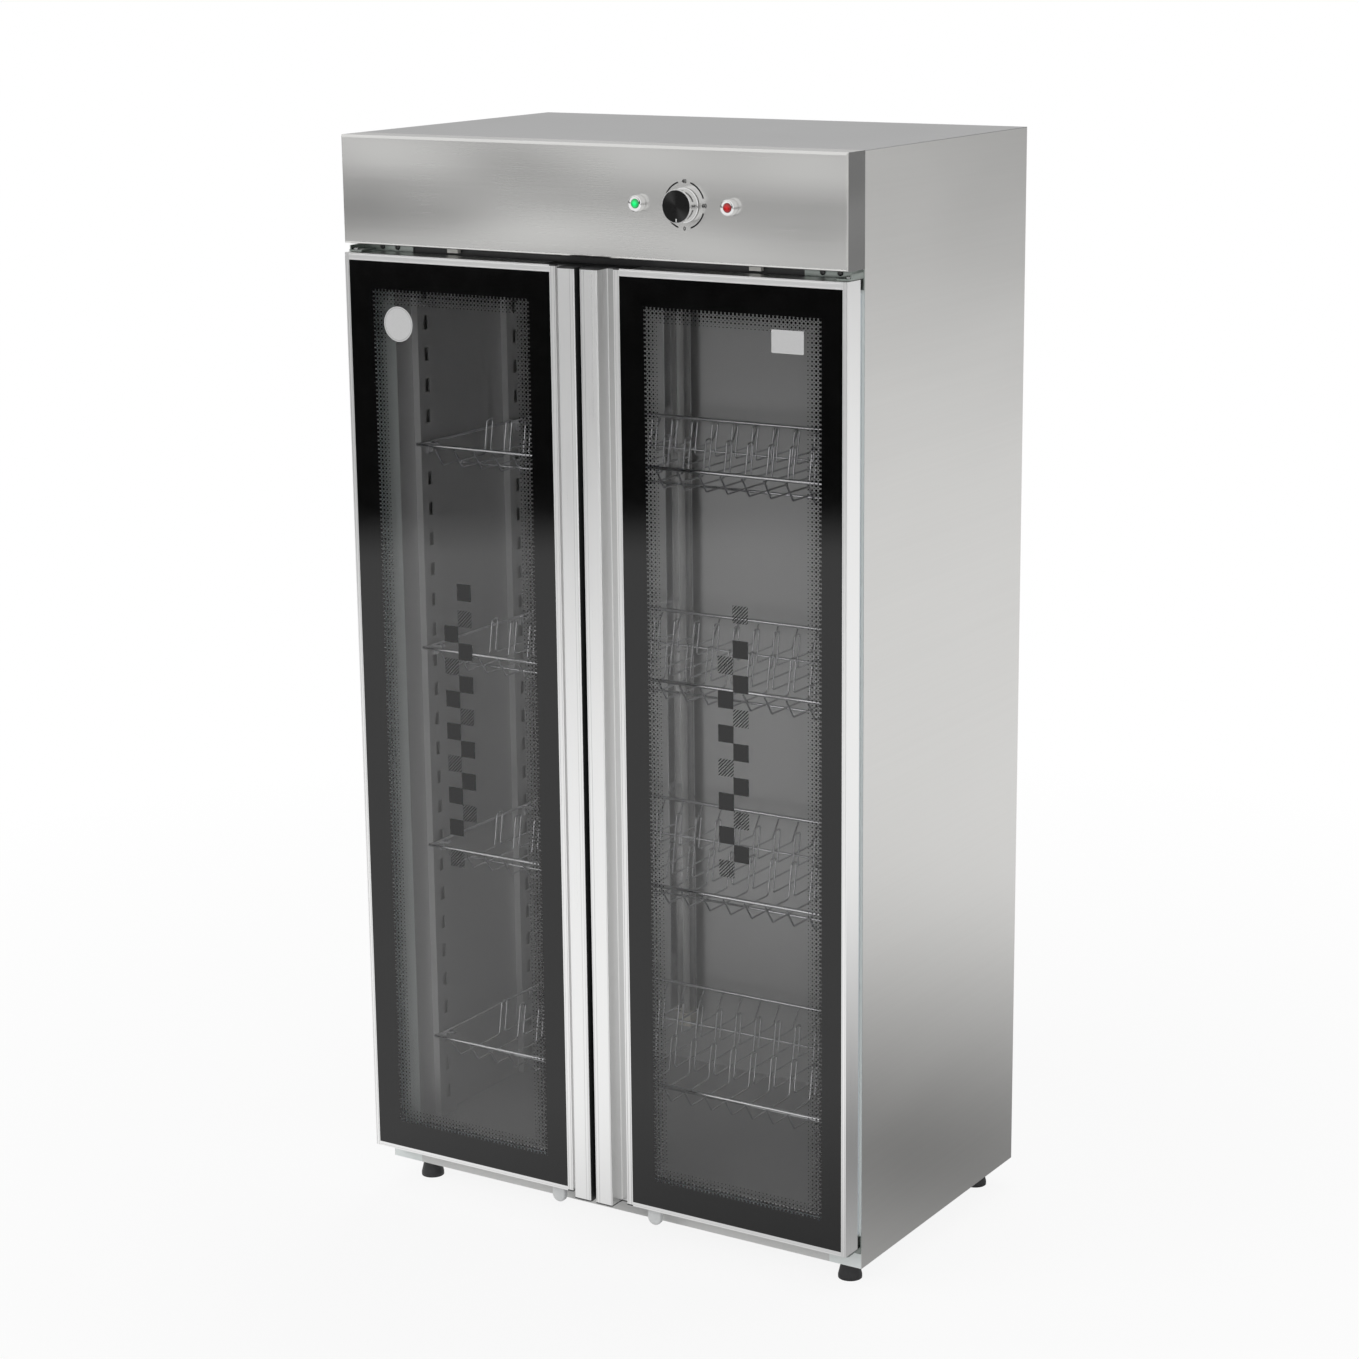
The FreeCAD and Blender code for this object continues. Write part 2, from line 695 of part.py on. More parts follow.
def handle_stiles():
    """Aluminium handle stiles and the black caps on their ends."""
    stile = handle_piece("door_bottom + cap_thickness", "door_height - 2 * cap_thickness",
                         *handle_hollows())
    keep_both_sides(stile, "handle_stile")
    caps = group(handle_piece("door_bottom", "cap_thickness"),
                 handle_piece("door_top - cap_thickness", "cap_thickness"))
    keep_both_sides(caps, "handle_end_caps")


def hinge_stiles():
    """Aluminium stiles at the outer edges, open at the ends for the bushes."""
    lip_edge = "stile_width - stile_lip"
    outline = (("0", "glass_thickness"), (lip_edge, "glass_thickness"), (lip_edge, "0"),
               ("stile_width", "0"), ("stile_width", "frame_depth"), ("0", "frame_depth"))
    hollow = rectangle("frame_wall", "glass_thickness + frame_wall",
                       "stile_width - frame_wall", "frame_depth - frame_wall")
    stile = extruded(("door_outer - stile_width", "face", "door_bottom"), "door_height",
                     outline, hollow)
    keep_both_sides(stile, "hinge_stile")


def hinge_bushes():
    """Nylon bushes that fill the ends of the hinge stiles and turn on the pins."""
    bushes = []
    for z in ("door_bottom", "door_top - bush_depth"):
        plug = box(("door_outer - stile_width + frame_wall",
                    "face + glass_thickness + frame_wall", z),
                   ("stile_width - 2 * frame_wall",
                    "frame_depth - glass_thickness - 2 * frame_wall", "bush_depth"))
        bore = cylinder(("pivot_x", "pivot_y", f"{z} - 1"), "pin_radius + running_fit",
                        "bush_depth + 2")
        bushes.append(cut(plug, bore))
    keep_both_sides(group(*bushes), "hinge_bushes")


def door_rail(lip_z, lip, body_z):
    """A rail between the stiles: a lip beside the pane in front of a hollow bar."""
    inner = "door_inner + handle_width"
    outer = "door_outer - stile_width"
    bar = box((inner, "face + glass_thickness", body_z),
              (f"{outer} - ({inner})", "frame_depth - glass_thickness", "rail_height"))
    face_strip = box(("door_inner + handle_face", "face", lip_z),
                     ("door_outer - stile_lip - door_inner - (handle_face)",
                      "glass_thickness", lip))
    hollow = box((f"{inner} - 1", "face + glass_thickness + frame_wall",
                  f"{body_z} + frame_wall"),
                 (f"{outer} - ({inner}) + 2",
                  "frame_depth - glass_thickness - 2 * frame_wall",
                  "rail_height - 2 * frame_wall"))
    return cut(fuse(bar, face_strip), hollow)


def door_rails():
    """Top and bottom rails of both doors."""
    keep_both_sides(door_rail("door_top - top_lip", "top_lip", "door_top - rail_height"),
                    "door_top_rail")
    keep_both_sides(door_rail("door_bottom", "bottom_lip", "door_bottom"), "door_bottom_rail")


def door_panes():
    """Toughened panes, flush with the frame's face."""
    low_x = "door_inner + handle_face + glass_fit"
    low_z = "door_bottom + bottom_lip + glass_fit"
    pane = box((low_x, "face", low_z),
               (f"door_outer - stile_lip - glass_fit - ({low_x})", "glass_thickness",
                f"door_top - top_lip - glass_fit - ({low_z})"))
    keep_both_sides(pane, "door_glass")


def door_gaskets():
    """Seals of four strips round the back of each door."""
    outer = "door_outer - gasket_inset"
    inner = "door_inner + gasket_centre_inset"
    low = "door_bottom + gasket_end_inset"
    high = "door_top - gasket_end_inset"
    uprights = [box((x, "frame_rear", low), ("gasket_width", "gasket_depth", f"{high} - ({low})"))
                for x in (inner, f"{outer} - gasket_width")]
    levels = [box((f"{inner} + gasket_width", "frame_rear", z),
                  (f"{outer} - ({inner}) - 2 * gasket_width", "gasket_depth", "gasket_width"))
              for z in (low, f"{high} - gasket_width")]
    keep_both_sides(group(*uprights, *levels), "door_gasket")


def catch_tongues():
    """Round-ended plastic tongues that hang from the doors' lower edges."""
    straight = "tongue_length - tongue_width / 2"
    y = "face + tongue_setback"
    plate = box(("tongue_offset - tongue_width / 2", y, f"door_bottom - ({straight})"),
                ("tongue_width", "tongue_thickness", straight))
    end = cylinder(("tongue_offset", y, f"door_bottom - ({straight})"), "tongue_width / 2",
                   "tongue_thickness", "Y")
    keep_both_sides(fuse(plate, end), "catch_tongue")


# ---------------------------------------------------------------- hinges, catches and sensors

def hinge_plate(arm_z, leaf_z, *extras):
    """One hinge plate: a leaf on the body and an arm that carries the pin."""
    leaf = box(("half_width - leaf_inset - leaf_length", "front - leaf_thickness", leaf_z),
               ("leaf_length", "leaf_thickness", "leaf_height"))
    arm = box(("half_width - leaf_inset - arm_width", "front - arm_reach", arm_z),
              ("arm_width", "arm_reach - leaf_thickness", "arm_thickness"))
    corner_edges = rounded_edges(
        arm, "pin_head_radius",
        lambda edge: abs(edge.Vertexes[0].Z - edge.Vertexes[-1].Z) > 1e-6
        and lies_at(edge, "y", number("front - arm_reach")))
    pin_hole = cylinder(("pivot_x", "pivot_y", f"{arm_z} - 1"), "pin_radius", "arm_thickness + 2")
    return cut(fuse(leaf, corner_edges, *extras), pin_hole, *hinge_screw_holes())


def hinge_plates():
    """Four plates, one over and one under the outer edge of each door."""
    level = "door_top + arm_gap"
    flange = box(("half_width - leaf_inset - arm_flange_sheet",
                  "front - arm_reach + pin_head_radius", level),
                 ("arm_flange_sheet", "arm_reach - pin_head_radius - leaf_thickness",
                  "arm_flange"))
    over = hinge_plate(level, "door_top - leaf_overlap", flange)
    under = hinge_plate("door_bottom - arm_gap - arm_thickness",
                        "door_bottom + leaf_overlap - leaf_height")
    keep(group(over, under, mirrored(over), mirrored(under)), "hinge_plates")


def hinge_pins():
    """Headed pins that stand in the arms and reach into the bushes."""
    reach = "pin_engagement + arm_gap + arm_thickness"
    upper = fuse(cylinder(("pivot_x", "pivot_y", "door_top - pin_engagement"),
                          "pin_radius", reach),
                 cylinder(("pivot_x", "pivot_y", "door_top + arm_gap + arm_thickness"),
                          "pin_head_radius", "pin_head"))
    lower_end = "door_bottom - arm_gap - arm_thickness"
    lower = fuse(cylinder(("pivot_x", "pivot_y", lower_end), "pin_radius", reach),
                 cylinder(("pivot_x", "pivot_y", f"{lower_end} - pin_head"),
                          "pin_head_radius", "pin_head"))
    keep(group(upper, lower, mirrored(upper), mirrored(lower)), "hinge_pins")


def hinge_screws():
    """Pan-head screws of the hinge plates."""
    screws = []
    for x, z in hinge_screw_places():
        head = cylinder((x, "front - leaf_thickness - screw_head", z), "screw_head_radius",
                        "screw_head", "Y")
        shank = cylinder((x, "front - leaf_thickness", z), "screw_radius",
                         "leaf_thickness + screw_reach", "Y")
        screws.append(fuse(head, shank))
    keep(group(*screws, *[mirrored(screw) for screw in screws]), "hinge_screws")


def back_panel_screws():
    """Pan-head screws of the back panel."""
    screws = []
    for x, z in panel_screw_places():
        head = cylinder((x, "back", z), "panel_screw_head", "panel_screw_proud", "Y")
        shank = cylinder((x, "back - 3 * panel_screw_proud", z), "panel_screw_radius",
                         "3 * panel_screw_proud", "Y")
        screws.append(fuse(head, shank))
    keep(group(*screws, *[mirrored(screw) for screw in screws]), "back_panel_screws")


def door_sensors():
    """Small switch housings over the doors."""
    sensor = box(("sensor_offset - sensor_width / 2", "front - sensor_depth",
                  "door_top + sensor_rise"),
                 ("sensor_width", "sensor_depth", "sensor_height"))
    keep(pair(sensor), "door_sensors")


def catch_keepers():
    """Folded spring keepers behind the doors' tongues."""
    x = "tongue_offset - keeper_width / 2"
    top = "door_bottom - keeper_drop"
    shelf = box((x, "front - keeper_depth", f"{top} - keeper_sheet"),
                ("keeper_width", "keeper_depth", "keeper_sheet"))
    leaf = box((x, "front - keeper_sheet", f"{top} - keeper_height"),
               ("keeper_width", "keeper_sheet", "keeper_height"))
    keep(pair(fuse(shelf, leaf)), "catch_keepers")


# ---------------------------------------------------------------- chamber furniture

def slotted_upright(middle):
    """A channel-section upright with a column of slots in its web."""
    sheet_size = "panel_sheet"
    inner = f"upright_width - {sheet_size}"
    body = extruded(
        ("upright_face", f"front + {middle} - upright_width / 2", "chamber_bottom"),
        "chamber_top - chamber_bottom",
        (("0", "0"), ("upright_depth", "0"), ("upright_depth", sheet_size),
         (sheet_size, sheet_size), (sheet_size, inner), ("upright_depth", inner),
         ("upright_depth", "upright_width"), ("0", "upright_width")))
    slot = new_sketch(body, "YZ_Plane", rectangle(
        "(upright_width - slot_width) / 2", "slot_margin",
        "(upright_width + slot_width) / 2", "slot_margin + slot_height"))
    pocket = body.newObject("PartDesign::Pocket", "Slot")
    pocket.Profile = slot
    pocket.Reversed = True
    bind(pocket, Length="upright_depth")
    pattern = body.newObject("PartDesign::LinearPattern", "Slots")
    pattern.Originals = [pocket]
    pattern.Direction = (slot, ["V_Axis"])
    room = "chamber_top - chamber_bottom - 2 * slot_margin - slot_height"
    bind(pattern, Occurrences=f"floor(({room}) / slot_pitch) + 1",
         Length=f"floor(({room}) / slot_pitch) * slot_pitch")
    body.Tip = pattern
    return body


def uprights():
    """Two uprights on each side wall."""
    keep_both_sides(group(slotted_upright("front_upright"), slotted_upright("rear_upright")),
                    "uprights")


def rack_level(rack):
    """Height of a rack's rails, counted from the bottom."""
    return f"chamber_bottom + rack_first + {rack} * rack_pitch"


def rack_clips():
    """Angle clips hooked on the uprights, under the side rails of every rack."""
    clips = []
    for rack in range(RACKS):
        top = f"{rack_level(rack)} - side_rod"
        for middle in ("front_upright", "rear_upright"):
            y = f"front + {middle} - clip_width / 2"
            shelf = box(("upright_face - clip_reach", y, f"{top} - clip_thickness"),
                        ("clip_reach", "clip_width", "clip_thickness"))
            leaf = box(("upright_face - clip_thickness", y, f"{top} - clip_height"),
                       ("clip_thickness", "clip_width", "clip_height"))
            clips.append(fuse(shelf, leaf))
    keep(group(*clips, *[mirrored(clip) for clip in clips]), "rack_clips")


def bent_wire(corners, radius, bend):
    """A round wire along straight runs joined by tangent arcs."""
    points = [FreeCAD.Vector(0, y, z) for y, z in corners]
    edges = []
    start = points[0]
    for before, corner, after in zip(points, points[1:], points[2:]):
        towards = (before - corner).normalize()
        away = (after - corner).normalize()
        half = (math.pi - towards.getAngle(away)) / 2
        trim = bend * math.tan(half)
        first = corner + towards * trim
        last = corner + away * trim
        inward = (towards + away).normalize()
        middle = corner + inward * (bend / math.cos(half) - bend)
        edges.append(Part.LineSegment(start, first).toShape())
        edges.append(Part.Arc(first, middle, last).toShape())
        start = last
    edges.append(Part.LineSegment(start, points[-1]).toShape())
    spine = Part.Wire(edges)
    section = Part.Wire([Part.makeCircle(radius, points[0], points[1] - points[0])])
    return spine.makePipeShell([section], True, True)


def cross_wire_corners():
    """Corners of a cross wire in the plane across the rack: dips and plate prongs."""
    front_y = number("rack_front_y")
    rear_y = number("rack_rear_y")
    end_z = -number("rail_rod + wire_rod")
    low_z = -number("wire_drop")
    run = number("wire_run")
    half = number("prong_width") / 2
    lean = number("prong_lean")
    rise = number("prong_rise")
    corners = [(front_y, end_z), (front_y + run, low_z)]
    for prong in range(1, PRONGS + 1):
        middle = front_y + (rear_y - front_y) * prong / (PRONGS + 1)
        corners += [(middle - half, low_z), (middle - half + lean, rise),
                    (middle + half + lean, rise), (middle + half, low_z)]
    corners += [(rear_y - run, low_z), (rear_y, end_z)]
    return corners


def wire_rack(wire, level):
    """The rods of one rack: front and rear rails, side rails, cross wires and under rods."""
    half = number("rack_half")
    rail = number("rail_rod")
    side = number("side_rod")
    front_y = number("rack_front_y")
    rear_y = number("rack_rear_y")
    along_x = FreeCAD.Vector(1, 0, 0)
    along_y = FreeCAD.Vector(0, 1, 0)
    rods = [Part.makeCylinder(rail, 2 * half, FreeCAD.Vector(-half, y, 0), along_x)
            for y in (front_y, rear_y)]
    for x in (side - half, half - side):
        start = FreeCAD.Vector(x, front_y + rail, 0)
        rods.append(Part.makeCylinder(side, rear_y - front_y - 2 * rail, start, along_y))
    pitch = number("wire_pitch")
    thin = number("wire_rod")
    reach = half - 2 * side - thin - pitch / 4
    count = int(reach // pitch)
    for step in range(-count, count + 1):
        rods.append(wire.translated(FreeCAD.Vector(step * pitch, 0, 0)))
    under = number("under_rod")
    inset = number("under_rod_inset")
    last = count * pitch + pitch / 4
    drop = -number("wire_drop") - thin - under
    for y in (front_y + inset, rear_y - inset):
        start = FreeCAD.Vector(-last, y, drop)
        rods.append(Part.makeCylinder(under, 2 * last, start, along_x))
    shape = Part.makeCompound(rods)
    shape.translate(FreeCAD.Vector(0, 0, level))
    return shape


def wire_racks():
    """Four lift-out racks of welded wire, numbered from the top."""
    wire = bent_wire(cross_wire_corners(), number("wire_rod"), number("wire_bend"))
    for rack in range(RACKS):
        item = document.addObject("Part::Feature", "Rack")
        item.Shape = wire_rack(wire, number(rack_level(rack)))
        keep(item, f"wire_rack_{RACKS - rack}")


def heaters():
    """Two quartz tubes in reflector troughs on the rear wall, between their sockets."""
    slope = "(reflector_width - reflector_back) / 2"
    far = "reflector_width - (reflector_width - reflector_back) / 2"
    inner_y = "reflector_depth - reflector_sheet"
    trough = extruded(
        ("heater_offset - reflector_width / 2", "chamber_rear - reflector_depth",
         "reflector_bottom"), "reflector_top - reflector_bottom",
        (("0", "0"), ("2 * reflector_sheet", "0"), (f"{slope} + reflector_sheet", inner_y),
         (f"{far} - reflector_sheet", inner_y), ("reflector_width - 2 * reflector_sheet", "0"),
         ("reflector_width", "0"), (far, "reflector_depth"), (slope, "reflector_depth")))
    keep(pair(trough), "lamp_reflectors")
    tube = cylinder(("heater_offset", "chamber_rear - tube_setback", "reflector_bottom"),
                    "tube_radius", "reflector_top - reflector_bottom")
    keep(pair(tube), "heater_tubes")
    sockets = [box(("heater_offset - socket_width / 2", "chamber_rear - reflector_depth", z),
                   ("socket_width", "reflector_depth", "socket_height"))
               for z in ("reflector_bottom - socket_height", "reflector_top")]
    keep(group(*sockets, *[mirrored(socket) for socket in sockets]), "tube_sockets")


# ---------------------------------------------------------------- feet

def feet():
    """Levelling feet whose studs turn in threaded inserts above the base tray."""
    inserts = []
    collar_top = "foot_height - foot_clearance"
    stud_top = "foot_height + stud_reach"
    for name, x, y in foot_places():
        foot = turned((x, y, "0"), (
            ("0", "0"), ("pad_radius", "0"), ("pad_radius", "pad_height"),
            ("foot_waist", f"{collar_top} - collar_height"),
            ("collar_radius", f"{collar_top} - collar_height"), ("collar_radius", collar_top),
            ("stud_radius", collar_top), ("stud_radius", stud_top), ("0", stud_top)))
        keep(foot, name)
        ring = cylinder((x, y, "base + panel_sheet"), "insert_radius", "insert_height")
        bore = cylinder((x, y, "base"), "stud_radius + running_fit",
                        "panel_sheet + insert_height - 1")
        inserts.append(cut(ring, bore))
    keep(group(*inserts), "foot_inserts")


# ---------------------------------------------------------------- checks and export

def check_document():
    """Stop if any object failed, or a sub-part is empty or not valid."""
    for item in document.Objects:
        if "Invalid" in item.State or "Error" in item.State:
            raise RuntimeError(f"{item.Name} ({item.Label}) failed: {item.State}")
    for item in sub_parts:
        if item.Shape.isNull() or not item.Shape.isValid() or not item.Shape.Solids:
            raise RuntimeError(f"{item.Label} has no valid shape")


def check_slots():
    """Stop if the slots of the uprights cut nothing."""
    for item in sub_parts:
        if item.Label.endswith("_uprights"):
            section = number("(upright_width + 2 * upright_depth - 2 * panel_sheet) * panel_sheet")
            plain = 2 * section * number("chamber_top - chamber_bottom")
            if item.Shape.Volume > plain - 1:
                raise RuntimeError(f"{item.Label} has no slots")


def main():
    side_panels()
    top_panel()
    back_panel()
    base_tray()
    head_rail()
    compartment_floor()
    chamber()
    control_fascia()
    timer()
    pilot_lamps()
    terminal_block()
    cable_gland()
    handle_stiles()
    hinge_stiles()
    hinge_bushes()
    door_rails()
    door_panes()
    door_gaskets()
    catch_tongues()
    hinge_plates()
    hinge_pins()
    hinge_screws()
    back_panel_screws()
    door_sensors()
    catch_keepers()
    uprights()
    rack_clips()
    wire_racks()
    heaters()
    feet()
    document.recompute()
    check_document()
    check_slots()
    os.makedirs("parts", exist_ok=True)
    for item in sub_parts:
        item.Shape.exportStep(f"parts/{item.Label}.step")
    print(len(sub_parts), "sub-parts written")


main()
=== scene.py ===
"""Finishes, printed details, small turned pieces and studio of a dish sterilizer cabinet."""
import math
from functools import reduce
from operator import add, or_

import bmesh
import bpy
from mathutils import Matrix, Vector


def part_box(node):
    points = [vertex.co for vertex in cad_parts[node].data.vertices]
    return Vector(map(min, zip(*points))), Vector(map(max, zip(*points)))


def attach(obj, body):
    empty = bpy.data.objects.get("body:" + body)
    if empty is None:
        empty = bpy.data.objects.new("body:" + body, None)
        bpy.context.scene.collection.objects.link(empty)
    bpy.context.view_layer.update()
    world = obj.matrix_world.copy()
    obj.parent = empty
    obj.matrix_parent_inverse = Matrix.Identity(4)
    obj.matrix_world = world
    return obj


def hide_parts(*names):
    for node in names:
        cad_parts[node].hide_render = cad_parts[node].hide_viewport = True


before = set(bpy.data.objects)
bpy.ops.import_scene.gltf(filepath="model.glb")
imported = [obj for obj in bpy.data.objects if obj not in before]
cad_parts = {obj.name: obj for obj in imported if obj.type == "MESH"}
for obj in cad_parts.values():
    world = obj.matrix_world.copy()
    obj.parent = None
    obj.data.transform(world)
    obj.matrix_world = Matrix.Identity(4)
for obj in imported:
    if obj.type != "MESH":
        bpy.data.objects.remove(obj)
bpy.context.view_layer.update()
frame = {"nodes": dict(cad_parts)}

bl_info = {
    "name": "Dish sterilizer cabinet",
    "version": (1, 0, 0),
    "blender": (4, 5, 0),
    "location": "3D View > Sidebar > Cabinet",
    "description": "Finishes, printed details and studio of a dish sterilizer cabinet",
    "category": "Object",
}

NODES = frame["nodes"]
SIDES = ("left", "right")
MM = 0.001

# Corners, planes and axes read from the frame
FASCIA_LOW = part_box("control_fascia")[0]
SIDE_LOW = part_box("left_side_panel")[0]
KNOB_LOW, KNOB_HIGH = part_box("timer_knob")
DIAL = Vector(((KNOB_LOW.x + KNOB_HIGH.x) / 2, FASCIA_LOW.y, (KNOB_LOW.z + KNOB_HIGH.z) / 2))
ALONG_Y = Vector((0, 1, 0))

# Beyond this, across, lie the fascia's side returns, which get painted shade
FASCIA_RETURN = 449.5 * MM
# Depth of the side panels' front folds, and the gap that keeps their outer faces plain
FOLD_DEPTH = 1.2 * MM
FOLD_GAP = 0.6 * MM


# ---------------------------------------------------------------- shader expressions

def math_method(operation, swapped=False):
    """A method that puts a value and what stands beside it into one Math node."""
    def method(self, *others):
        operands = (*others, self) if swapped else (self, *others)
        node = self.shader.add("ShaderNodeMath", {"operation": operation},
                               dict(enumerate(operands)))
        return Value(self.shader, node.outputs[0])
    return method


class Value:
    """A shader value that Python's operators turn into Math nodes."""

    def __init__(self, shader, socket):
        self.shader = shader
        self.socket = socket

    __add__ = math_method("ADD")
    __radd__ = math_method("ADD", swapped=True)
    __sub__ = math_method("SUBTRACT")
    __rsub__ = math_method("SUBTRACT", swapped=True)
    __mul__ = math_method("MULTIPLY")
    __rmul__ = math_method("MULTIPLY", swapped=True)
    __truediv__ = math_method("DIVIDE")
    __pow__ = math_method("POWER")
    __abs__ = math_method("ABSOLUTE")
    __lt__ = math_method("LESS_THAN")
    __gt__ = math_method("GREATER_THAN")
    __or__ = math_method("MAXIMUM")
    __and__ = math_method("MINIMUM")
    root = math_method("SQRT")
    wave = math_method("SINE")
    part = math_method("FRACT")
    near = math_method("COMPARE")  # 1 within a half width of a centre, 0 outside

    def clipped(self, low=0.0, high=1.0):
        """The value kept between two limits."""
        return (self | low) & high


class Shader:
    """The node tree of one material or world."""

    def __init__(self, owner, output):
        owner.use_nodes = True
        self.owner = owner
        self.tree = owner.node_tree
        self.tree.nodes.clear()
        self.output = self.add(output)

    def add(self, kind, settings=None, inputs=None):
        """A node of a kind, with its settings and then its inputs set or linked."""
        node = self.tree.nodes.new(kind)
        for name, setting in (settings or {}).items():
            setattr(node, name, setting)
        for key, value in (inputs or {}).items():
            if isinstance(value, Value):
                value = value.socket
            if isinstance(value, bpy.types.NodeSocket):
                self.tree.links.new(value, node.inputs[key])
            else:
                node.inputs[key].default_value = value
        return node

    def value(self, socket):
        """A socket wrapped for arithmetic."""
        return Value(self, socket)

    def coordinates(self):
        """Object coordinates as three values."""
        place = self.add("ShaderNodeTexCoord").outputs["Object"]
        parts = self.add("ShaderNodeSeparateXYZ", None, {0: place})
        return [self.value(socket) for socket in parts.outputs]

    def stretched(self, scale):
        """Object coordinates scaled along each axis, or alike along all of them."""
        if isinstance(scale, float):
            scale = (scale, scale, scale)
        place = self.add("ShaderNodeTexCoord").outputs["Object"]
        mapping = self.add("ShaderNodeMapping", None, {"Vector": place, "Scale": scale})
        return mapping.outputs[0]

    def noise(self, scale, detail=3.0, roughness=0.55):
        """Noise with its own scale along each axis, from 0 to 1."""
        node = self.add("ShaderNodeTexNoise", None, {
            "Vector": self.stretched(scale), "Scale": 1.0, "Detail": detail,
            "Roughness": roughness})
        return self.value(node.outputs["Fac"])

    def cells(self, scale):
        """Colour of Voronoi cells as one value."""
        node = self.add("ShaderNodeTexVoronoi", None, {
            "Vector": self.stretched(scale), "Scale": 1.0})
        parts = self.add("ShaderNodeSeparateColor", None, {0: node.outputs["Color"]})
        return self.value(parts.outputs[0])

    def blend(self, factor, low, high):
        """A colour between two colours."""
        node = self.add("ShaderNodeMix", {"data_type": "RGBA"}, {0: factor, 6: low, 7: high})
        return node.outputs[2]

    def mix(self, factor, first, second):
        """A shader between two shaders."""
        node = self.add("ShaderNodeMixShader", None, {0: factor, 1: first, 2: second})
        return node.outputs[0]

    def bump(self, height, strength, distance=0.0002, under=None):
        """A normal from a height, laid over another normal if there is one."""
        inputs = {"Height": height, "Strength": strength, "Distance": distance}
        if under is not None:
            inputs["Normal"] = under
        return self.add("ShaderNodeBump", None, inputs).outputs[0]

    def surface(self, **inputs):
        """A Principled shader, its inputs named in words."""
        named = {key.replace("_", " ").title().replace("Ior", "IOR"): value
                 for key, value in inputs.items()}
        return self.add("ShaderNodeBsdfPrincipled", None, named).outputs[0]

    def rays(self):
        """Whether a ray comes from the camera, and whether from a mirror or glass."""
        path = self.add("ShaderNodeLightPath").outputs
        seen = self.value(path["Is Camera Ray"])
        return seen, (self.value(path["Is Glossy Ray"]) | self.value(path["Is Transmission Ray"]))

    def finish(self, result):
        """Link the result to the output."""
        self.tree.links.new(result, self.output.inputs["Surface"])
        return self.owner

    def finish_surface(self, **inputs):
        """Link a Principled shader to the output."""
        return self.finish(self.surface(**inputs))


def new_material(name):
    """An empty material and its shader."""
    return Shader(bpy.data.materials.new(name), "ShaderNodeOutputMaterial")


def grey(level, tint=(1.0, 1.0, 1.0)):
    """A colour with alpha from a level and a tint."""
    return (level * tint[0], level * tint[1], level * tint[2], 1.0)


def scaled(colour, factor, lift=0.0):
    """A lighter or darker colour."""
    return tuple(min(channel * factor + lift, 1.0) for channel in colour[:3]) + (1.0,)


def distance(across, up):
    """Length of two components."""
    return (across ** 2.0 + up ** 2.0).root()


def highest(values):
    """The highest of some shader values."""
    return reduce(or_, values)


def total(values):
    """The sum of some shader values."""
    return reduce(add, values)


def along(grain, lengthwise, crosswise):
    """Noise scales that are small along one axis, for lines in that direction."""
    return tuple(lengthwise if axis == grain else crosswise for axis in "XYZ")


# ---------------------------------------------------------------- finishes

def grained_metal(name, colour, grain, rough, lines, spread=0.1, wave=0.0, metal=1.0,
                  painted_return_shade=0.0, fold=None):
    """Brushed or drawn metal: fine lines along one axis, handling marks, slight buckling."""
    shader = new_material(name)
    streaks = shader.noise(along(grain, 4.0, 1100.0), 2.0)
    bands = shader.noise(along(grain, 0.7, 170.0), 2.0)
    marks = shader.noise((2.3, 2.3, 3.1), 4.0, 0.6)
    tone = (streaks * 0.4 + bands * 0.4 + marks * 0.2).clipped()
    normal = shader.bump(streaks, lines, 0.00005)
    if wave:
        buckle = shader.noise((1.6, 1.6, 4.5), 1.0)
        normal = shader.bump(buckle, 1.0, wave, normal)
    base = shader.blend(tone, scaled(colour, 0.95), scaled(colour, 1.05))
    # Painted shade: the fascia's side returns are blended towards dark grey
    if painted_return_shade:
        x, _, _ = shader.coordinates()
        base = shader.blend((abs(x) > FASCIA_RETURN) * painted_return_shade, base, grey(0.12))
    if fold:
        x, y, _ = shader.coordinates()
        front = (y < SIDE_LOW.y + FOLD_DEPTH) * (abs(x) < abs(SIDE_LOW.x) - FOLD_GAP)
        base = shader.blend(front, base, fold)
        metal = (1.0 - front) * metal
    return shader.finish_surface(
        base_color=base, metallic=metal,
        roughness=(streaks - 0.5) * spread + (marks - 0.5) * 0.08 + rough, normal=normal)


def extruded_metal(name, colour, grain, rough, ridges, dark=None):
    """Satin anodised section: die lines along it, ridges at given places across it.

    dark holds the width of a black strip of painted shade in the gap between the doors, and the two
    edges of a channel with painted shade, darker towards the top.
    """
    shader = new_material(name)
    x, _, z = shader.coordinates()
    across = abs(x) if grain == "Z" else z
    lines = shader.noise(along(grain, 3.0, 900.0), 2.0)
    cloud = shader.noise((16.0, 16.0, 5.0), 3.0)
    ridge = highest((1.0 - abs(across - place) / half).clipped() for place, half in ridges)
    tone = (lines * 0.5 + cloud * 0.5).clipped()
    base = shader.blend(tone, scaled(colour, 0.94), colour)
    # Painted shade: each ridge's groove is darkened towards grey
    base = shader.blend(ridge * 0.4, base, grey(0.25))
    metallic = 1.0
    normal = shader.bump(lines, 0.04, 0.00005)
    if dark:
        strip, (near, far) = dark
        bar = ((across - near / 2 - strip / 2) / (near / 2)).clipped(-1.0, 1.0)
        normal = shader.bump(1.0 - bar * bar, 1.0, 0.0009, normal)
        # Painted shade: a near-black strip in the gap between the doors, and a grey channel that
        # darkens towards the top
        painted_gap_shade = across < strip
        painted_channel_shade = across.near((near + far) / 2, (far - near) / 2)
        base = shader.blend(painted_channel_shade * ((z - 1.0) * 0.45 + 0.42).clipped(0.42, 0.7), base,
                            grey(0.32))
        base = shader.blend(painted_gap_shade, base, grey(0.035, (0.95, 1.0, 1.0)))
        metallic = 1.0 - painted_gap_shade
    return shader.finish_surface(
        base_color=base, metallic=metallic,
        roughness=(lines - 0.5) * 0.08 + (cloud - 0.5) * 0.06 + rough,
        normal=shader.bump(1.0 - ridge, 0.8, 0.0004, normal))


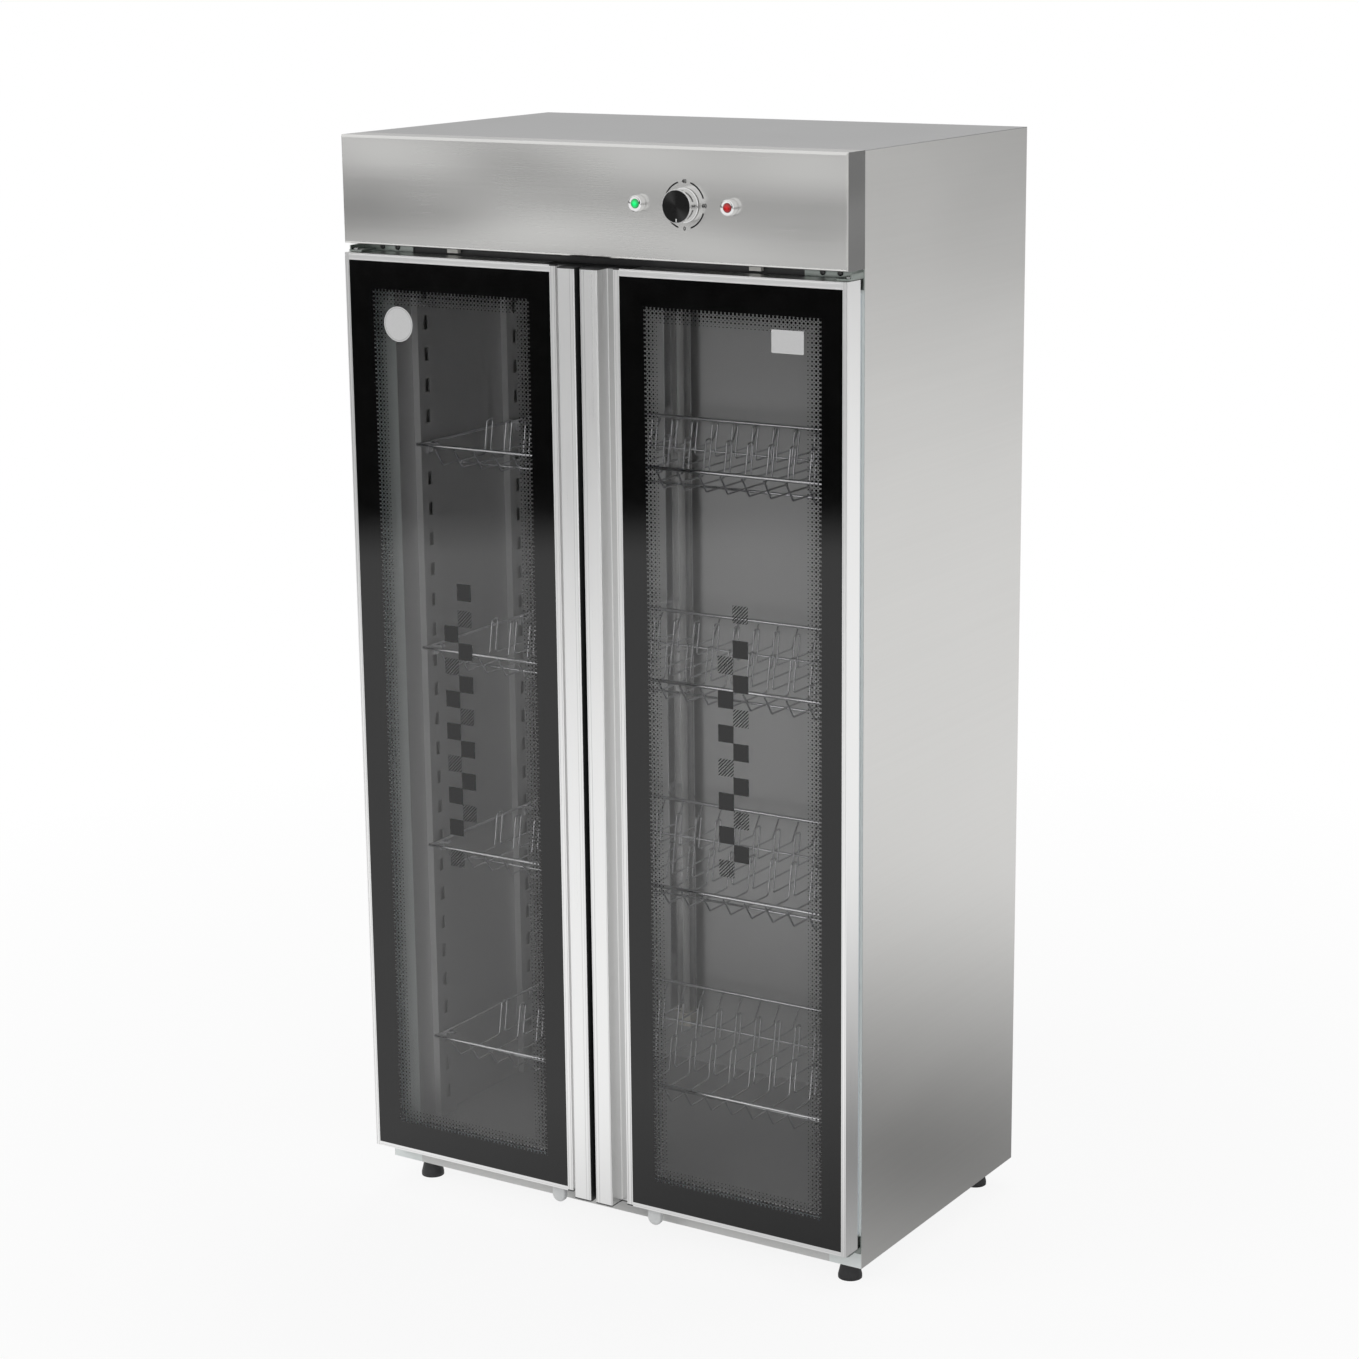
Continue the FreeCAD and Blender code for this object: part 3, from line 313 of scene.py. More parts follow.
def polished_metal(name, colour, rough, haze=0.08):
    """Bright plating or polished sheet with faint smears."""
    shader = new_material(name)
    smears = shader.noise(45.0, 4.0, 0.6)
    scratches = shader.noise((900.0, 900.0, 120.0), 2.0)
    return shader.finish_surface(
        base_color=shader.blend(smears, scaled(colour, 0.93), colour), metallic=1.0,
        roughness=(smears * haze + rough).clipped(0.02, 1.0),
        normal=shader.bump(scratches, 0.05, 0.00003))


def zinc_plate(name, colour):
    """Zinc plating with a passivated spangle."""
    shader = new_material(name)
    spangle = shader.cells(260.0)
    film = shader.noise(60.0, 3.0)
    base = shader.blend(spangle, scaled(colour, 0.82), colour)
    tinted = shader.blend((film - 0.45).clipped() * 1.6, base, (0.22, 0.28, 0.25, 1.0))
    return shader.finish_surface(
        base_color=tinted, metallic=1.0, roughness=spangle * 0.14 + 0.3,
        normal=shader.bump(spangle, 0.08, 0.00005))


def enamel(name, colour, coat=0.3):
    """Baked paint with slight orange peel."""
    shader = new_material(name)
    peel = shader.noise(420.0, 2.0)
    dust = shader.noise(14.0, 4.0, 0.65)
    return shader.finish_surface(
        base_color=shader.blend(dust, scaled(colour, 0.9), colour), roughness=dust * 0.15 + 0.35,
        coat_weight=coat, coat_roughness=0.2, normal=shader.bump(peel, 0.12, 0.0001))


def moulded_plastic(name, colour, rough, texture=0.25):
    """Moulded plastic with a fine spark-eroded skin."""
    shader = new_material(name)
    skin = shader.noise(1900.0, 3.0)
    wear = shader.noise(35.0, 4.0, 0.6)
    return shader.finish_surface(
        base_color=shader.blend(wear * 0.6, colour, scaled(colour, 1.25, 0.006)),
        roughness=wear * 0.16 + rough, normal=shader.bump(skin, texture, 0.0001))


def soft_seal(name, colour):
    """Soft vinyl of a door seal, slightly chalky."""
    shader = new_material(name)
    chalk = shader.noise((55.0, 55.0, 18.0), 4.0, 0.6)
    ripple = shader.noise((600.0, 600.0, 40.0), 2.0)
    return shader.finish_surface(
        base_color=shader.blend(chalk, scaled(colour, 0.88), colour), roughness=chalk * 0.2 + 0.38,
        subsurface_weight=0.05, normal=shader.bump(ripple, 0.15, 0.0001))


def glazed_ceramic(name, colour):
    """Glazed porcelain with faint speckles."""
    shader = new_material(name)
    specks = shader.noise(700.0, 2.0)
    spots = (specks > 0.72) * 0.5
    return shader.finish_surface(
        base_color=shader.blend(spots, colour, (0.45, 0.40, 0.33, 1.0)),
        roughness=specks * 0.08 + 0.18, coat_weight=0.5, coat_roughness=0.05)


def lamp_lens(name, colour, glow, centre):
    """Coloured lens that glows over the lamp behind its middle; its base colour is lighter there
    and darker to the rim, painted light.
    """
    shader = new_material(name)
    x, _, z = shader.coordinates()
    reach = distance(x - centre.x, z - centre.z)
    core = (1.0 - reach / 0.009).clipped() ** 1.5
    rings = (reach * 9000.0).wave()
    # Painted light: the base colour is lighter over the middle and falls to about a third at the
    # rim
    return shader.finish_surface(
        base_color=shader.blend(core, scaled(colour, 0.35), colour), roughness=0.2, coat_weight=0.4,
        coat_roughness=0.05, emission_color=shader.blend(core, grey(0.0), glow),
        emission_strength=1.0, normal=shader.bump(rings, 0.12, 0.0001))


def quartz(name):
    """Milky quartz tube."""
    shader = new_material(name)
    cloud = shader.noise((90.0, 90.0, 9.0), 3.0)
    return shader.finish_surface(
        base_color=shader.blend(cloud, grey(0.72), grey(0.86, (1.0, 1.0, 0.97))),
        roughness=cloud * 0.1 + 0.12, alpha=cloud * 0.15 + 0.45, coat_weight=0.6,
        coat_roughness=0.03)


def spun_black(name, colour, centre):
    """Black anodised disc with the rings that spinning leaves, and a painted fan-shaped highlight
    """
    shader = new_material(name)
    x, _, z = shader.coordinates()
    reach = distance(x - centre.x, z - centre.z)
    rings = (reach * 26000.0).wave()
    coarse = shader.noise(300.0, 2.0)
    turned = ((z - centre.z) * 0.82 - (x - centre.x) * 0.57) / (reach + 0.0005)
    # Painted highlight: two opposite wedges are lighter, standing for the spun face's sheen
    painted_fan_highlight = (turned * turned) ** 5.0
    base = shader.blend(coarse, colour, scaled(colour, 1.5))
    return shader.finish_surface(
        base_color=shader.blend(painted_fan_highlight * 0.6, base, grey(0.09)),
        metallic=0.85, roughness=coarse * 0.1 + 0.24, normal=shader.bump(rings, 0.35, 0.00003))


def ink(name, colour):
    """Screen-printed ink with slightly uneven cover."""
    shader = new_material(name)
    cover = shader.noise(800.0, 3.0)
    return shader.finish_surface(
        base_color=shader.blend(cover, colour, scaled(colour, 1.3, 0.002)),
        roughness=cover * 0.2 + 0.4, specular_ior_level=0.25)


# ---------------------------------------------------------------- settings

def colour_setting(name, description, default):
    """A colour that a user may change."""
    return bpy.props.FloatVectorProperty(name=name, description=description, subtype="COLOR",
                                         size=4, min=0.0, max=1.0, default=default)


def length_setting(name, description, default):
    """A length in metres that a user may change."""
    return bpy.props.FloatProperty(name=name, description=description, unit="LENGTH",
                                   min=0.0, precision=5, default=default)


def level_setting(name, description, default, high=1.0):
    """A plain number that a user may change."""
    return bpy.props.FloatProperty(name=name, description=description, min=0.0, max=high,
                                   default=default)


class CabinetFinishes(bpy.types.PropertyGroup):
    """Colours of the cabinet's finishes."""

    stainless: colour_setting("Stainless", "Outer panels and fascia", (0.66, 0.655, 0.64, 1.0))
    liner: colour_setting("Liner", "Chamber walls and uprights", (0.62, 0.62, 0.62, 1.0))
    frame: colour_setting("Frame", "Aluminium of the doors", (0.90, 0.90, 0.895, 1.0))
    fold: colour_setting("Fold", "Front folds that the doors seal on", (0.80, 0.84, 0.83, 1.0))
    base: colour_setting("Base", "Painted tray under the chamber", (0.68, 0.68, 0.67, 1.0))
    # Near-black: partly the rail's dark paint, partly painted shade for the shadowed gap over the
    # doors
    rail: colour_setting("Rail", "Painted rail over the doors", (0.02, 0.02, 0.021, 1.0))
    seal: colour_setting("Seal", "Door seals", (0.60, 0.65, 0.68, 1.0))
    zinc: colour_setting("Zinc", "Hinge plates and keepers", (0.34, 0.37, 0.35, 1.0))
    black: colour_setting("Black", "Feet, caps and gland", (0.018, 0.018, 0.019, 1.0))
    tongue: colour_setting("Tongue", "Catch tongues", (0.62, 0.63, 0.63, 1.0))
    ink: colour_setting("Ink", "Print on the fascia", (0.005, 0.005, 0.005, 1.0))


class GlassPrint(bpy.types.PropertyGroup):
    """The print on the door panes."""

    clearness: level_setting("Clearness", "Light that passes each face", 0.96)
    pitch: length_setting("Dot pitch", "Between rows of dots", 6.7 * MM)
    first_row: length_setting("First row", "From the border to the first dots", 2 * MM)
    band: length_setting("Dotted band", "Width of the fading dots", 24 * MM)
    dot_large: length_setting("Largest dot", "Dot radius beside the border", 2.5 * MM)
    dot_small: length_setting("Smallest dot", "Dot radius beside the clear glass", 0.9 * MM)
    square: length_setting("Square", "Side of the checker squares", 27 * MM)
    hatch: length_setting("Hatch", "Pitch of the hatched squares", 5.4 * MM)


class DialPrint(bpy.types.PropertyGroup):
    """The scale printed round the timer."""

    radius: length_setting("Radius", "Middle of the scale's arcs", 34.2 * MM)
    stroke: length_setting("Stroke", "Width of the arcs", 2.3 * MM)
    figure: length_setting("Figure", "Size of the numbers", 7.8 * MM)


class Studio(bpy.types.PropertyGroup):
    """Camera and lamps."""

    lens: bpy.props.FloatProperty(name="Lens", description="Focal length", unit="CAMERA",
                                  min=10.0, default=83.55)
    key: level_setting("Key", "Power of the large front lamp", 90.0, 1000.0)
    fill: level_setting("Fill", "Power of the right front lamp", 35.0, 1000.0)
    side: level_setting("Side", "Power of the lamp at the right", 20.0, 1000.0)
    back: level_setting("Back", "Power of the lamp behind", 40.0, 1000.0)
    sky: level_setting("Sky", "Level of the soft light from all round", 0.5, 5.0)
    horizon: level_setting("Horizon", "Height of the dim band behind, in reflections", 0.12)
    dim: level_setting("Dim band", "Level of the dim band behind, in reflections", 0.35)


# ---------------------------------------------------------------- making pieces

def new_object(name, data):
    """An object in the scene."""
    item = bpy.data.objects.new(name, data)
    bpy.context.scene.collection.objects.link(item)
    return item


def piece_from(shape, name, material, body, sharp=35.0):
    """Turn a bmesh into a finished piece that rides on a body."""
    bmesh.ops.remove_doubles(shape, verts=shape.verts, dist=1e-6)
    bmesh.ops.recalc_face_normals(shape, faces=shape.faces)
    mesh = bpy.data.meshes.new(name)
    shape.to_mesh(mesh)
    shape.free()
    mesh.polygons.foreach_set("use_smooth", [True] * len(mesh.polygons))
    mesh.set_sharp_from_angle(angle=math.radians(sharp))
    mesh.materials.append(material)
    piece = new_object(name, mesh)
    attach(piece, body)
    return piece


def turn(shape, centre, profile, axis=ALONG_Y, segments=64):
    """Turn a profile of (radius, distance along the axis) round the axis through a centre."""
    across = Vector((1, 0, 0)) if abs(axis.x) < 0.5 else Vector((0, 1, 0))
    verts = [shape.verts.new(centre + across * radius + axis * along) for radius, along in profile]
    edges = [shape.edges.new(ends) for ends in zip(verts, verts[1:])]
    bmesh.ops.spin(shape, geom=verts + edges, cent=centre, axis=axis, angle=2 * math.pi,
                   steps=segments, use_merge=True, use_duplicate=False)
    bmesh.ops.remove_doubles(shape, verts=shape.verts, dist=1e-7)


def block(shape, low, high):
    """Add a block between two corners."""
    low, high = Vector(low), Vector(high)
    place = Matrix.Translation((low + high) / 2) @ Matrix.Diagonal((*(high - low), 1.0))
    bmesh.ops.create_cube(shape, size=1.0, matrix=place)


def extrude(shape, faces, depth):
    """Extrude faces along Y, and return the edges between the vertices that moved."""
    grown = bmesh.ops.extrude_face_region(shape, geom=faces)["geom"]
    moved = [item for item in grown if isinstance(item, bmesh.types.BMVert)]
    bmesh.ops.translate(shape, verts=moved, vec=(0, depth, 0))
    return {edge for vert in moved for edge in vert.link_edges
            if edge.verts[0] in moved and edge.verts[1] in moved}


def soften(shape, edges, offset, segments):
    """Round edges off."""
    bmesh.ops.bevel(shape, geom=list(edges), offset=offset, affect="EDGES",
                    segments=segments, profile=0.5, material=-1)


def ring(shape, low, high, width, near, far, bevel):
    """Add an upright mitred frame between two depths, outer corners in X and Z."""
    place = (Matrix.Translation(((low[0] + high[0]) / 2, near, (low[1] + high[1]) / 2))
             @ Matrix.Rotation(math.radians(90), 4, "X")
             @ Matrix.Diagonal(((high[0] - low[0]) / 2, (high[1] - low[1]) / 2, 1.0, 1.0)))
    made = bmesh.ops.create_grid(shape, x_segments=1, y_segments=1, size=1.0, matrix=place)
    inner = list({face for vert in made["verts"] for face in vert.link_faces})
    rim = bmesh.ops.inset_region(shape, faces=inner, thickness=width, use_boundary=True,
                                 use_even_offset=True)["faces"]
    bmesh.ops.delete(shape, geom=inner, context="FACES_KEEP_BOUNDARY")
    edges = extrude(shape, rim, far - near)
    if bevel:
        soften(shape, [edge for edge in edges if len(edge.link_faces) == 2
                       and any(abs(face.normal.y) < 0.5 for face in edge.link_faces)], bevel, 3)


def dress(material, *names):
    """Give CAD nodes a material."""
    for name in names:
        node = NODES[name]
        if not node.material_slots:
            node.data.materials.append(material)
        for slot in node.material_slots:
            slot.material = material


def both(pattern):
    """The left and right names of a piece."""
    return [pattern.format(side) for side in SIDES]


# ---------------------------------------------------------------- operators

class CABINET_OT_stage(bpy.types.Operator):
    """Set up the camera, the floor, the lamps and the sky"""

    bl_idname = "cabinet.stage"
    bl_label = "Stage"

    CAMERA = Vector((2.6278, -4.1939, 2.0913))
    # Azimuth, elevation and roll of the camera, in degrees
    TURNS = (32.227, 13.815, -0.625)
    FLOOR_RADIUS = 14.0
    # Middles of the bright sweep and of the shade beside the cabinet that mirrors see below
    SWEEP = (2.0, 3.0)
    SHADE = (0.74, 0.3)
    TARGET = Vector((0.0, 0.0, 0.85))
    # Each lamp: its name, which its power shares, size, place, and whether mirrors show it
    LAMPS = (("key", (3.2, 2.2), (-2.8, -4.3, 2.9), False),
             ("fill", (1.6, 2.6), (3.6, -3.4, 2.2), False),
             ("side", (2.4, 2.0), (3.6, 2.6, 2.6), True),
             ("back", (2.4, 2.4), (-0.6, 3.0, 5.0), False))

    def execute(self, context):
        studio = context.scene.cabinet_studio
        self.place_camera(context, studio)
        self.lay_floor(studio)
        self.light_sky(context, studio)
        for name, *rest in self.LAMPS:
            self.hang_lamp(f"{name}_lamp", getattr(studio, name), *rest)
        context.scene.view_settings.view_transform = "Standard"
        return {"FINISHED"}

    def place_camera(self, context, studio):
        """A long lens high at the right front corner."""
        data = bpy.data.cameras.new("camera")
        data.lens = studio.lens
        data.sensor_width = 36.0
        camera = new_object("camera", data)
        azimuth, elevation, roll = (math.radians(turn) for turn in self.TURNS)
        camera.matrix_world = (Matrix.Translation(self.CAMERA) @ Matrix.Rotation(azimuth, 4, "Z")
                               @ Matrix.Rotation(math.pi / 2 - elevation, 4, "X")
                               @ Matrix.Rotation(roll, 4, "Z"))
        context.scene.camera = camera

    def lay_floor(self, studio):
        """A round pale floor that shows white and keeps the shadow."""
        shape = bmesh.new()
        bmesh.ops.create_circle(shape, cap_ends=True, segments=96, radius=self.FLOOR_RADIUS)
        mesh = bpy.data.meshes.new("floor")
        shape.to_mesh(mesh)
        shape.free()
        shader = new_material("studio_floor")
        seen, mirrored = shader.rays()
        x, y, _ = shader.coordinates()
        reach = distance(x, y)
        sweep = distance(x - self.SWEEP[0], y - self.SWEEP[1])
        beside = distance(x - self.SHADE[0], y - self.SHADE[1])
        paper = ((10.2 - sweep) / 0.8).clipped(0.02, 1.0) | (y > 0.0) * studio.dim
        shade = 1.0 - (1.0 - beside / 1.55).clipped() * 0.82
        plain = ((reach - 0.8) / 2.0).clipped() * 0.12 + 0.88
        matte = shader.surface(base_color=grey(0.86), roughness=0.9)
        white = shader.add("ShaderNodeEmission", None, {
            "Color": grey(1.0), "Strength": seen | mirrored * paper * shade}).outputs[0]
        mesh.materials.append(shader.finish(shader.mix(seen * plain | mirrored, matte, white)))
        floor = new_object("floor", mesh)

    def light_sky(self, context, studio):
        """A soft sky, plain white to the camera and dimmer at the horizon in reflections."""
        world = bpy.data.worlds.new("studio_sky")
        context.scene.world = world
        shader = Shader(world, "ShaderNodeOutputWorld")
        seen, mirrored = shader.rays()
        direction = shader.add("ShaderNodeTexCoord").outputs["Generated"]
        parts = shader.add("ShaderNodeSeparateXYZ", None, {0: direction}).outputs
        height = shader.value(parts["Z"])
        behind = (shader.value(parts["Y"]) * 2.0 + 0.5).clipped()
        front = ((height + 0.103) / 0.012).clipped(0.02, 1.0)
        rear = ((height - studio.horizon) / 0.2).clipped() * (1.0 - studio.dim) + studio.dim
        above = front * (1.0 - behind) + rear * behind
        level = seen | mirrored * above | (1.0 - (seen | mirrored)) * studio.sky
        soft = shader.add("ShaderNodeBackground", None,
                          {"Color": grey(1.0), "Strength": level}).outputs[0]
        shader.finish(soft)

    def hang_lamp(self, name, power, size, place, mirrored):
        """A rectangular lamp aimed at the target, which mirrors may be kept from showing."""
        data = bpy.data.lights.new(name, "AREA")
        data.shape = "RECTANGLE"
        data.size, data.size_y = size
        data.energy = power
        lamp = new_object(name, data)
        lamp.location = place
        lamp.visible_glossy = mirrored
        lamp.rotation_euler = (self.TARGET - lamp.location).to_track_quat("-Z", "Y").to_euler()


class CABINET_OT_body(bpy.types.Operator):
    """Finish the outer panels, the chamber and the fixed fittings"""

    bl_idname = "cabinet.body"
    bl_label = "Body"

    def execute(self, context):
        tones = context.scene.cabinet_finishes
        # The fascia's side returns get painted shade
        fascia = grained_metal("stainless_fascia", grey(0.70, (1.0, 0.995, 0.975)), "X", 0.26,
                               0.008, 0.03, 0.010, painted_return_shade=0.75)
        panels = grained_metal("stainless_panels", tones.stainless, "Y", 0.32, 0.015, 0.04, 0.002,
                               fold=tones.fold)
        liner = grained_metal("liner_steel", tones.liner, "Z", 0.55, 0.04, 0.06, 0.001, 0.8)
        dress(fascia, "control_fascia")
        dress(panels, "back_panel", *both("{}_side_panel"))
        # The top's stainless is set darker than the side panels': painted shade on the top
        dress(grained_metal("stainless_top", grey(0.46), "X", 0.3, 0.015, 0.04, 0.002),
              "top_panel")
        dress(liner, "chamber_back_wall", "chamber_ceiling", "chamber_floor",
              "compartment_floor", *both("{}_chamber_wall"), *both("{}_uprights"))
        # The head rail's near-black is partly its dark paint, partly painted shade in the gap over
        # the doors
        dress(enamel("rail_paint", tones.rail, 0.1), "head_rail")
        dress(enamel("base_paint", tones.base), "base_tray")
        dress(zinc_plate("zinc", tones.zinc), "hinge_plates", "catch_keepers", "foot_inserts")
        dress(polished_metal("ground_steel", grey(0.55), 0.2), "hinge_pins", "timer_shaft")
        dress(polished_metal("rack_plating", grey(0.74, (1.0, 1.0, 1.02)), 0.14),
              *(f"wire_rack_{level}" for level in range(1, 5)), "rack_clips")
        dress(polished_metal("reflector_sheet", grey(0.88), 0.1), "lamp_reflectors")
        dress(glazed_ceramic("porcelain", (0.82, 0.80, 0.74, 1.0)), "tube_sockets")
        dress(moulded_plastic("pale_plastic", (0.78, 0.77, 0.73, 1.0), 0.45), "door_sensors",
              "terminal_block", "timer_body")
        dress(moulded_plastic("black_nylon", tones.black, 0.45), "cable_gland",
              *both("front_{}_foot"), *both("rear_{}_foot"))
        return {"FINISHED"}


class CABINET_OT_doors(bpy.types.Operator):
    """Finish the door frames and make their seals"""

    bl_idname = "cabinet.doors"
    bl_label = "Doors"

    # (place across the section, half width) of each ridge of the extrusions, in metres
    HANDLE_RIDGES = ((0.0075, 0.0008), (0.0125, 0.0007), (0.0345, 0.0006), (0.0545, 0.0006),
                     (0.0600, 0.0006), (0.0655, 0.0006), (0.0700, 0.0006), (0.0750, 0.0006))
    STILE_RIDGES = ((0.4435, 0.0006), (0.4475, 0.0006))
    RAIL_RIDGES = ((1.5655, 0.0006), (1.5585, 0.0005), (0.0805, 0.0006))
    # Width of the black strip of painted shade between the doors, and the edges of the finger
    # channel, which gets painted shade
    HANDLE_DARK = (4.8 * MM, (37 * MM, 51.5 * MM))
    # Layers of the seal: inset and width in millimetres, start and end of the depth, bevel
    SEAL_LAYERS = ((0.0, 14.0, 0.0, 0.26, 0.0), (3.0, 8.0, 0.24, 0.5, 0.0),
                   (0.4, 13.2, 0.48, 1.0, 0.0016))

    def execute(self, context):
        tones = context.scene.cabinet_finishes
        dress(extruded_metal("handle_section", tones.frame, "Z", 0.3, self.HANDLE_RIDGES,
                             self.HANDLE_DARK), *both("{}_handle_stile"))
        dress(extruded_metal("stile_section", tones.frame, "Z", 0.3, self.STILE_RIDGES),
              *both("{}_hinge_stile"))
        dress(extruded_metal("rail_section", tones.frame, "X", 0.3, self.RAIL_RIDGES),
              *both("{}_door_top_rail"), *both("{}_door_bottom_rail"))
        dress(moulded_plastic("cap_plastic", tones.black, 0.4), *both("{}_handle_end_caps"))
        dress(moulded_plastic("bush_nylon", (0.80, 0.79, 0.74, 1.0), 0.4),
              *both("{}_hinge_bushes"))
        tongue = moulded_plastic("tongue_plastic", tones.tongue, 0.35, 0.1)
        seal = soft_seal("seal_vinyl", tones.seal)
        for side in SIDES:
            self.make_tongue(side, tongue)
            self.make_seal(side, seal)
        return {"FINISHED"}

    def make_tongue(self, side, material):
        """A tongue with a flared root, a round end and soft front edges."""
        low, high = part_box(f"{side}_catch_tongue")
        middle = (low.x + high.x) / 2
        root = (high.x - low.x) / 2
        neck = root - 0.7 * MM
        half = [(root, high.z), (root - 0.2 * MM, high.z - 2.0 * MM),
                (root - 0.5 * MM, high.z - 4.0 * MM), (neck, high.z - 7.0 * MM)]
        half += [(neck * math.cos(math.radians(angle)),
                  low.z + neck * (1.0 - math.sin(math.radians(angle))))
                 for angle in range(0, 91, 9)]
        outline = half + [(-across, up) for across, up in reversed(half[:-1])]
        shape = bmesh.new()
        face = shape.faces.new([shape.verts.new((middle + across, high.y, up))
                                for across, up in outline])
        soften(shape, extrude(shape, [face], low.y - high.y), 3.0 * MM, 5)
        piece = piece_from(shape, f"{side}_tongue", material, f"{side}_door")
        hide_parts(f"{side}_catch_tongue")

    def make_seal(self, side, material):
        """A seal with a flat foot, a narrow neck and a round lip."""
        low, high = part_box(f"{side}_door_gasket")
        depth = high.y - low.y
        shape = bmesh.new()
        for inset, width, start, end, bevel in self.SEAL_LAYERS:
            ring(shape, (low.x + inset * MM, low.z + inset * MM),
                 (high.x - inset * MM, high.z - inset * MM), width * MM,
                 low.y + depth * start, low.y + depth * end, bevel)
        piece = piece_from(shape, f"{side}_door_seal", material, f"{side}_door")
        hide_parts(f"{side}_door_gasket")


class CABINET_OT_glass(bpy.types.Operator):
    """Print the borders, fading dots and checker squares on the panes"""

    bl_idname = "cabinet.glass"
    bl_label = "Glass"

    # Each column of squares, in millimetres: middle across, middle of its first and second
    # square, number of squares, and the first hatched one, after which each third is hatched
    COLUMNS = {"left": ((-264.0, 976.0, 923.0, 8, 1), (-237.5, 1045.0, 1002.5, 8, 1)),
               "right": ((242.2, 985.5, 932.5, 7, 0), (268.5, 1065.0, 1012.0, 8, 0))}
    COLUMN_STEP = 53.0
    # Share of the hatch that is clear
    HATCH_CLEAR = 0.52
    # Outer edge of the dots, in millimetres: low and high across, low and high up
    WINDOWS = {"left": (-397.0, -101.0, 130.0, 1514.0), "right": (105.0, 407.0, 130.0, 1514.0)}

    def execute(self, context):
        settings = context.scene.cabinet_glass
        for side in SIDES:
            dress(self.printed_glass(side, settings), f"{side}_door_glass")
        return {"FINISHED"}

    def dots(self, x, z, inside, window, settings):
        """Rows of dots that shrink towards the clear glass, small ones between large."""
        left, right, bottom, top = window
        fade = (inside / settings.band).clipped()
        radius = settings.dot_large - fade * (settings.dot_large - settings.dot_small)
        grids = []
        for shift, share in ((0.5, 1.0), (0.0, 0.55)):
            squared = []
            for place, start, end in ((x, left, right), (z, bottom, top)):
                start += settings.first_row
                length = end - settings.first_row - start
                pitch = length / round(length / settings.pitch)
                away = (((place - start) / pitch + shift).part() - 0.5) * pitch
                squared.append(away * away)
            grids.append(total(squared).root() < radius * share)
        return highest(grids) * (inside < settings.band)

    def squares(self, x, z, side, settings):
        """The two columns of plain and hatched squares."""
        half = settings.square / 2
        stripes = ((x - z) / settings.hatch).part() > self.HATCH_CLEAR
        columns = []
        for across, first, second, count, hatched in self.COLUMNS[side]:
            places = (first, *(second - self.COLUMN_STEP * step for step in range(count - 1)))
            rows = [z.near(up * MM, half) for up in places]
            plain = [row for order, row in enumerate(rows) if order % 3 != hatched]
            column = total(plain) + total(rows[hatched::3]) * stripes
            columns.append(column * x.near(across * MM, half))
        return highest(columns)

    def printed_glass(self, side, settings):
        """Clear glass with glossy black print."""
        shader = new_material(f"{side}_printed_glass")
        x, y, z = shader.coordinates()
        low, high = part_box(f"{side}_door_glass")
        window = [edge * MM for edge in self.WINDOWS[side]]
        left, right, bottom, top = window
        across = (right - left) / 2 - abs(x - (left + right) / 2)
        up = (top - bottom) / 2 - abs(z - (bottom + top) / 2)
        inside = across & up
        pattern = (inside < 0.0) | self.dots(x, z, inside, window, settings)
        pattern = pattern | self.squares(x, z, side, settings)
        front = y < (low.y + high.y) / 2
        dust = shader.noise(30.0, 4.0, 0.65)
        black = shader.surface(
            base_color=shader.blend(dust, grey(0.001), grey(0.004)), ior=1.5,
            roughness=dust * 0.05 + 0.03)
        clear = shader.add("ShaderNodeBsdfTransparent", None,
                           {"Color": grey(settings.clearness)}).outputs[0]
        gloss = shader.surface(base_color=grey(0.9), metallic=1.0, roughness=0.03)
        fresnel = shader.value(shader.add("ShaderNodeFresnel", None, {"IOR": 1.5}).outputs[0])
        sheen = (fresnel * 0.8 + dust * 0.006).clipped() * (front * 0.85 + 0.15)
        pane = shader.mix(sheen, clear, gloss)
        return shader.finish(shader.mix(pattern.clipped() * front, pane, black))


class CABINET_OT_lip(bpy.types.Operator):
    """Fold the bright lip along the front of the chamber floor"""

    bl_idname = "cabinet.lip"
    bl_label = "Floor lip"

    RISE = 5 * MM
    HEM = 1.5 * MM
    SIDE_GAP = 2 * MM

    def execute(self, context):
        low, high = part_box("chamber_floor")
        shape = bmesh.new()
        block(shape, (low.x + self.SIDE_GAP, low.y + 0.6 * MM, high.z - 0.2 * MM),
              (high.x - self.SIDE_GAP, low.y + 1.6 * MM, high.z + self.RISE))
        piece_from(shape, "chamber_floor_lip",
                   grained_metal("lip_steel", grey(0.4), "X", 0.5, 0.03), "cabinet")
        shape = bmesh.new()
        start = Vector((low.x + self.SIDE_GAP, low.y + self.HEM + 0.2 * MM, high.z + self.RISE))
        length = high.x - low.x - 2 * self.SIDE_GAP
        turn(shape, start, ((0.0, 0.0), (self.HEM, 0.0), (self.HEM, length), (0.0, length)),
             Vector((1, 0, 0)), 16)
        piece_from(shape, "chamber_floor_hem", polished_metal("hem_steel", grey(0.97), 0.22),
                   "cabinet")
        return {"FINISHED"}


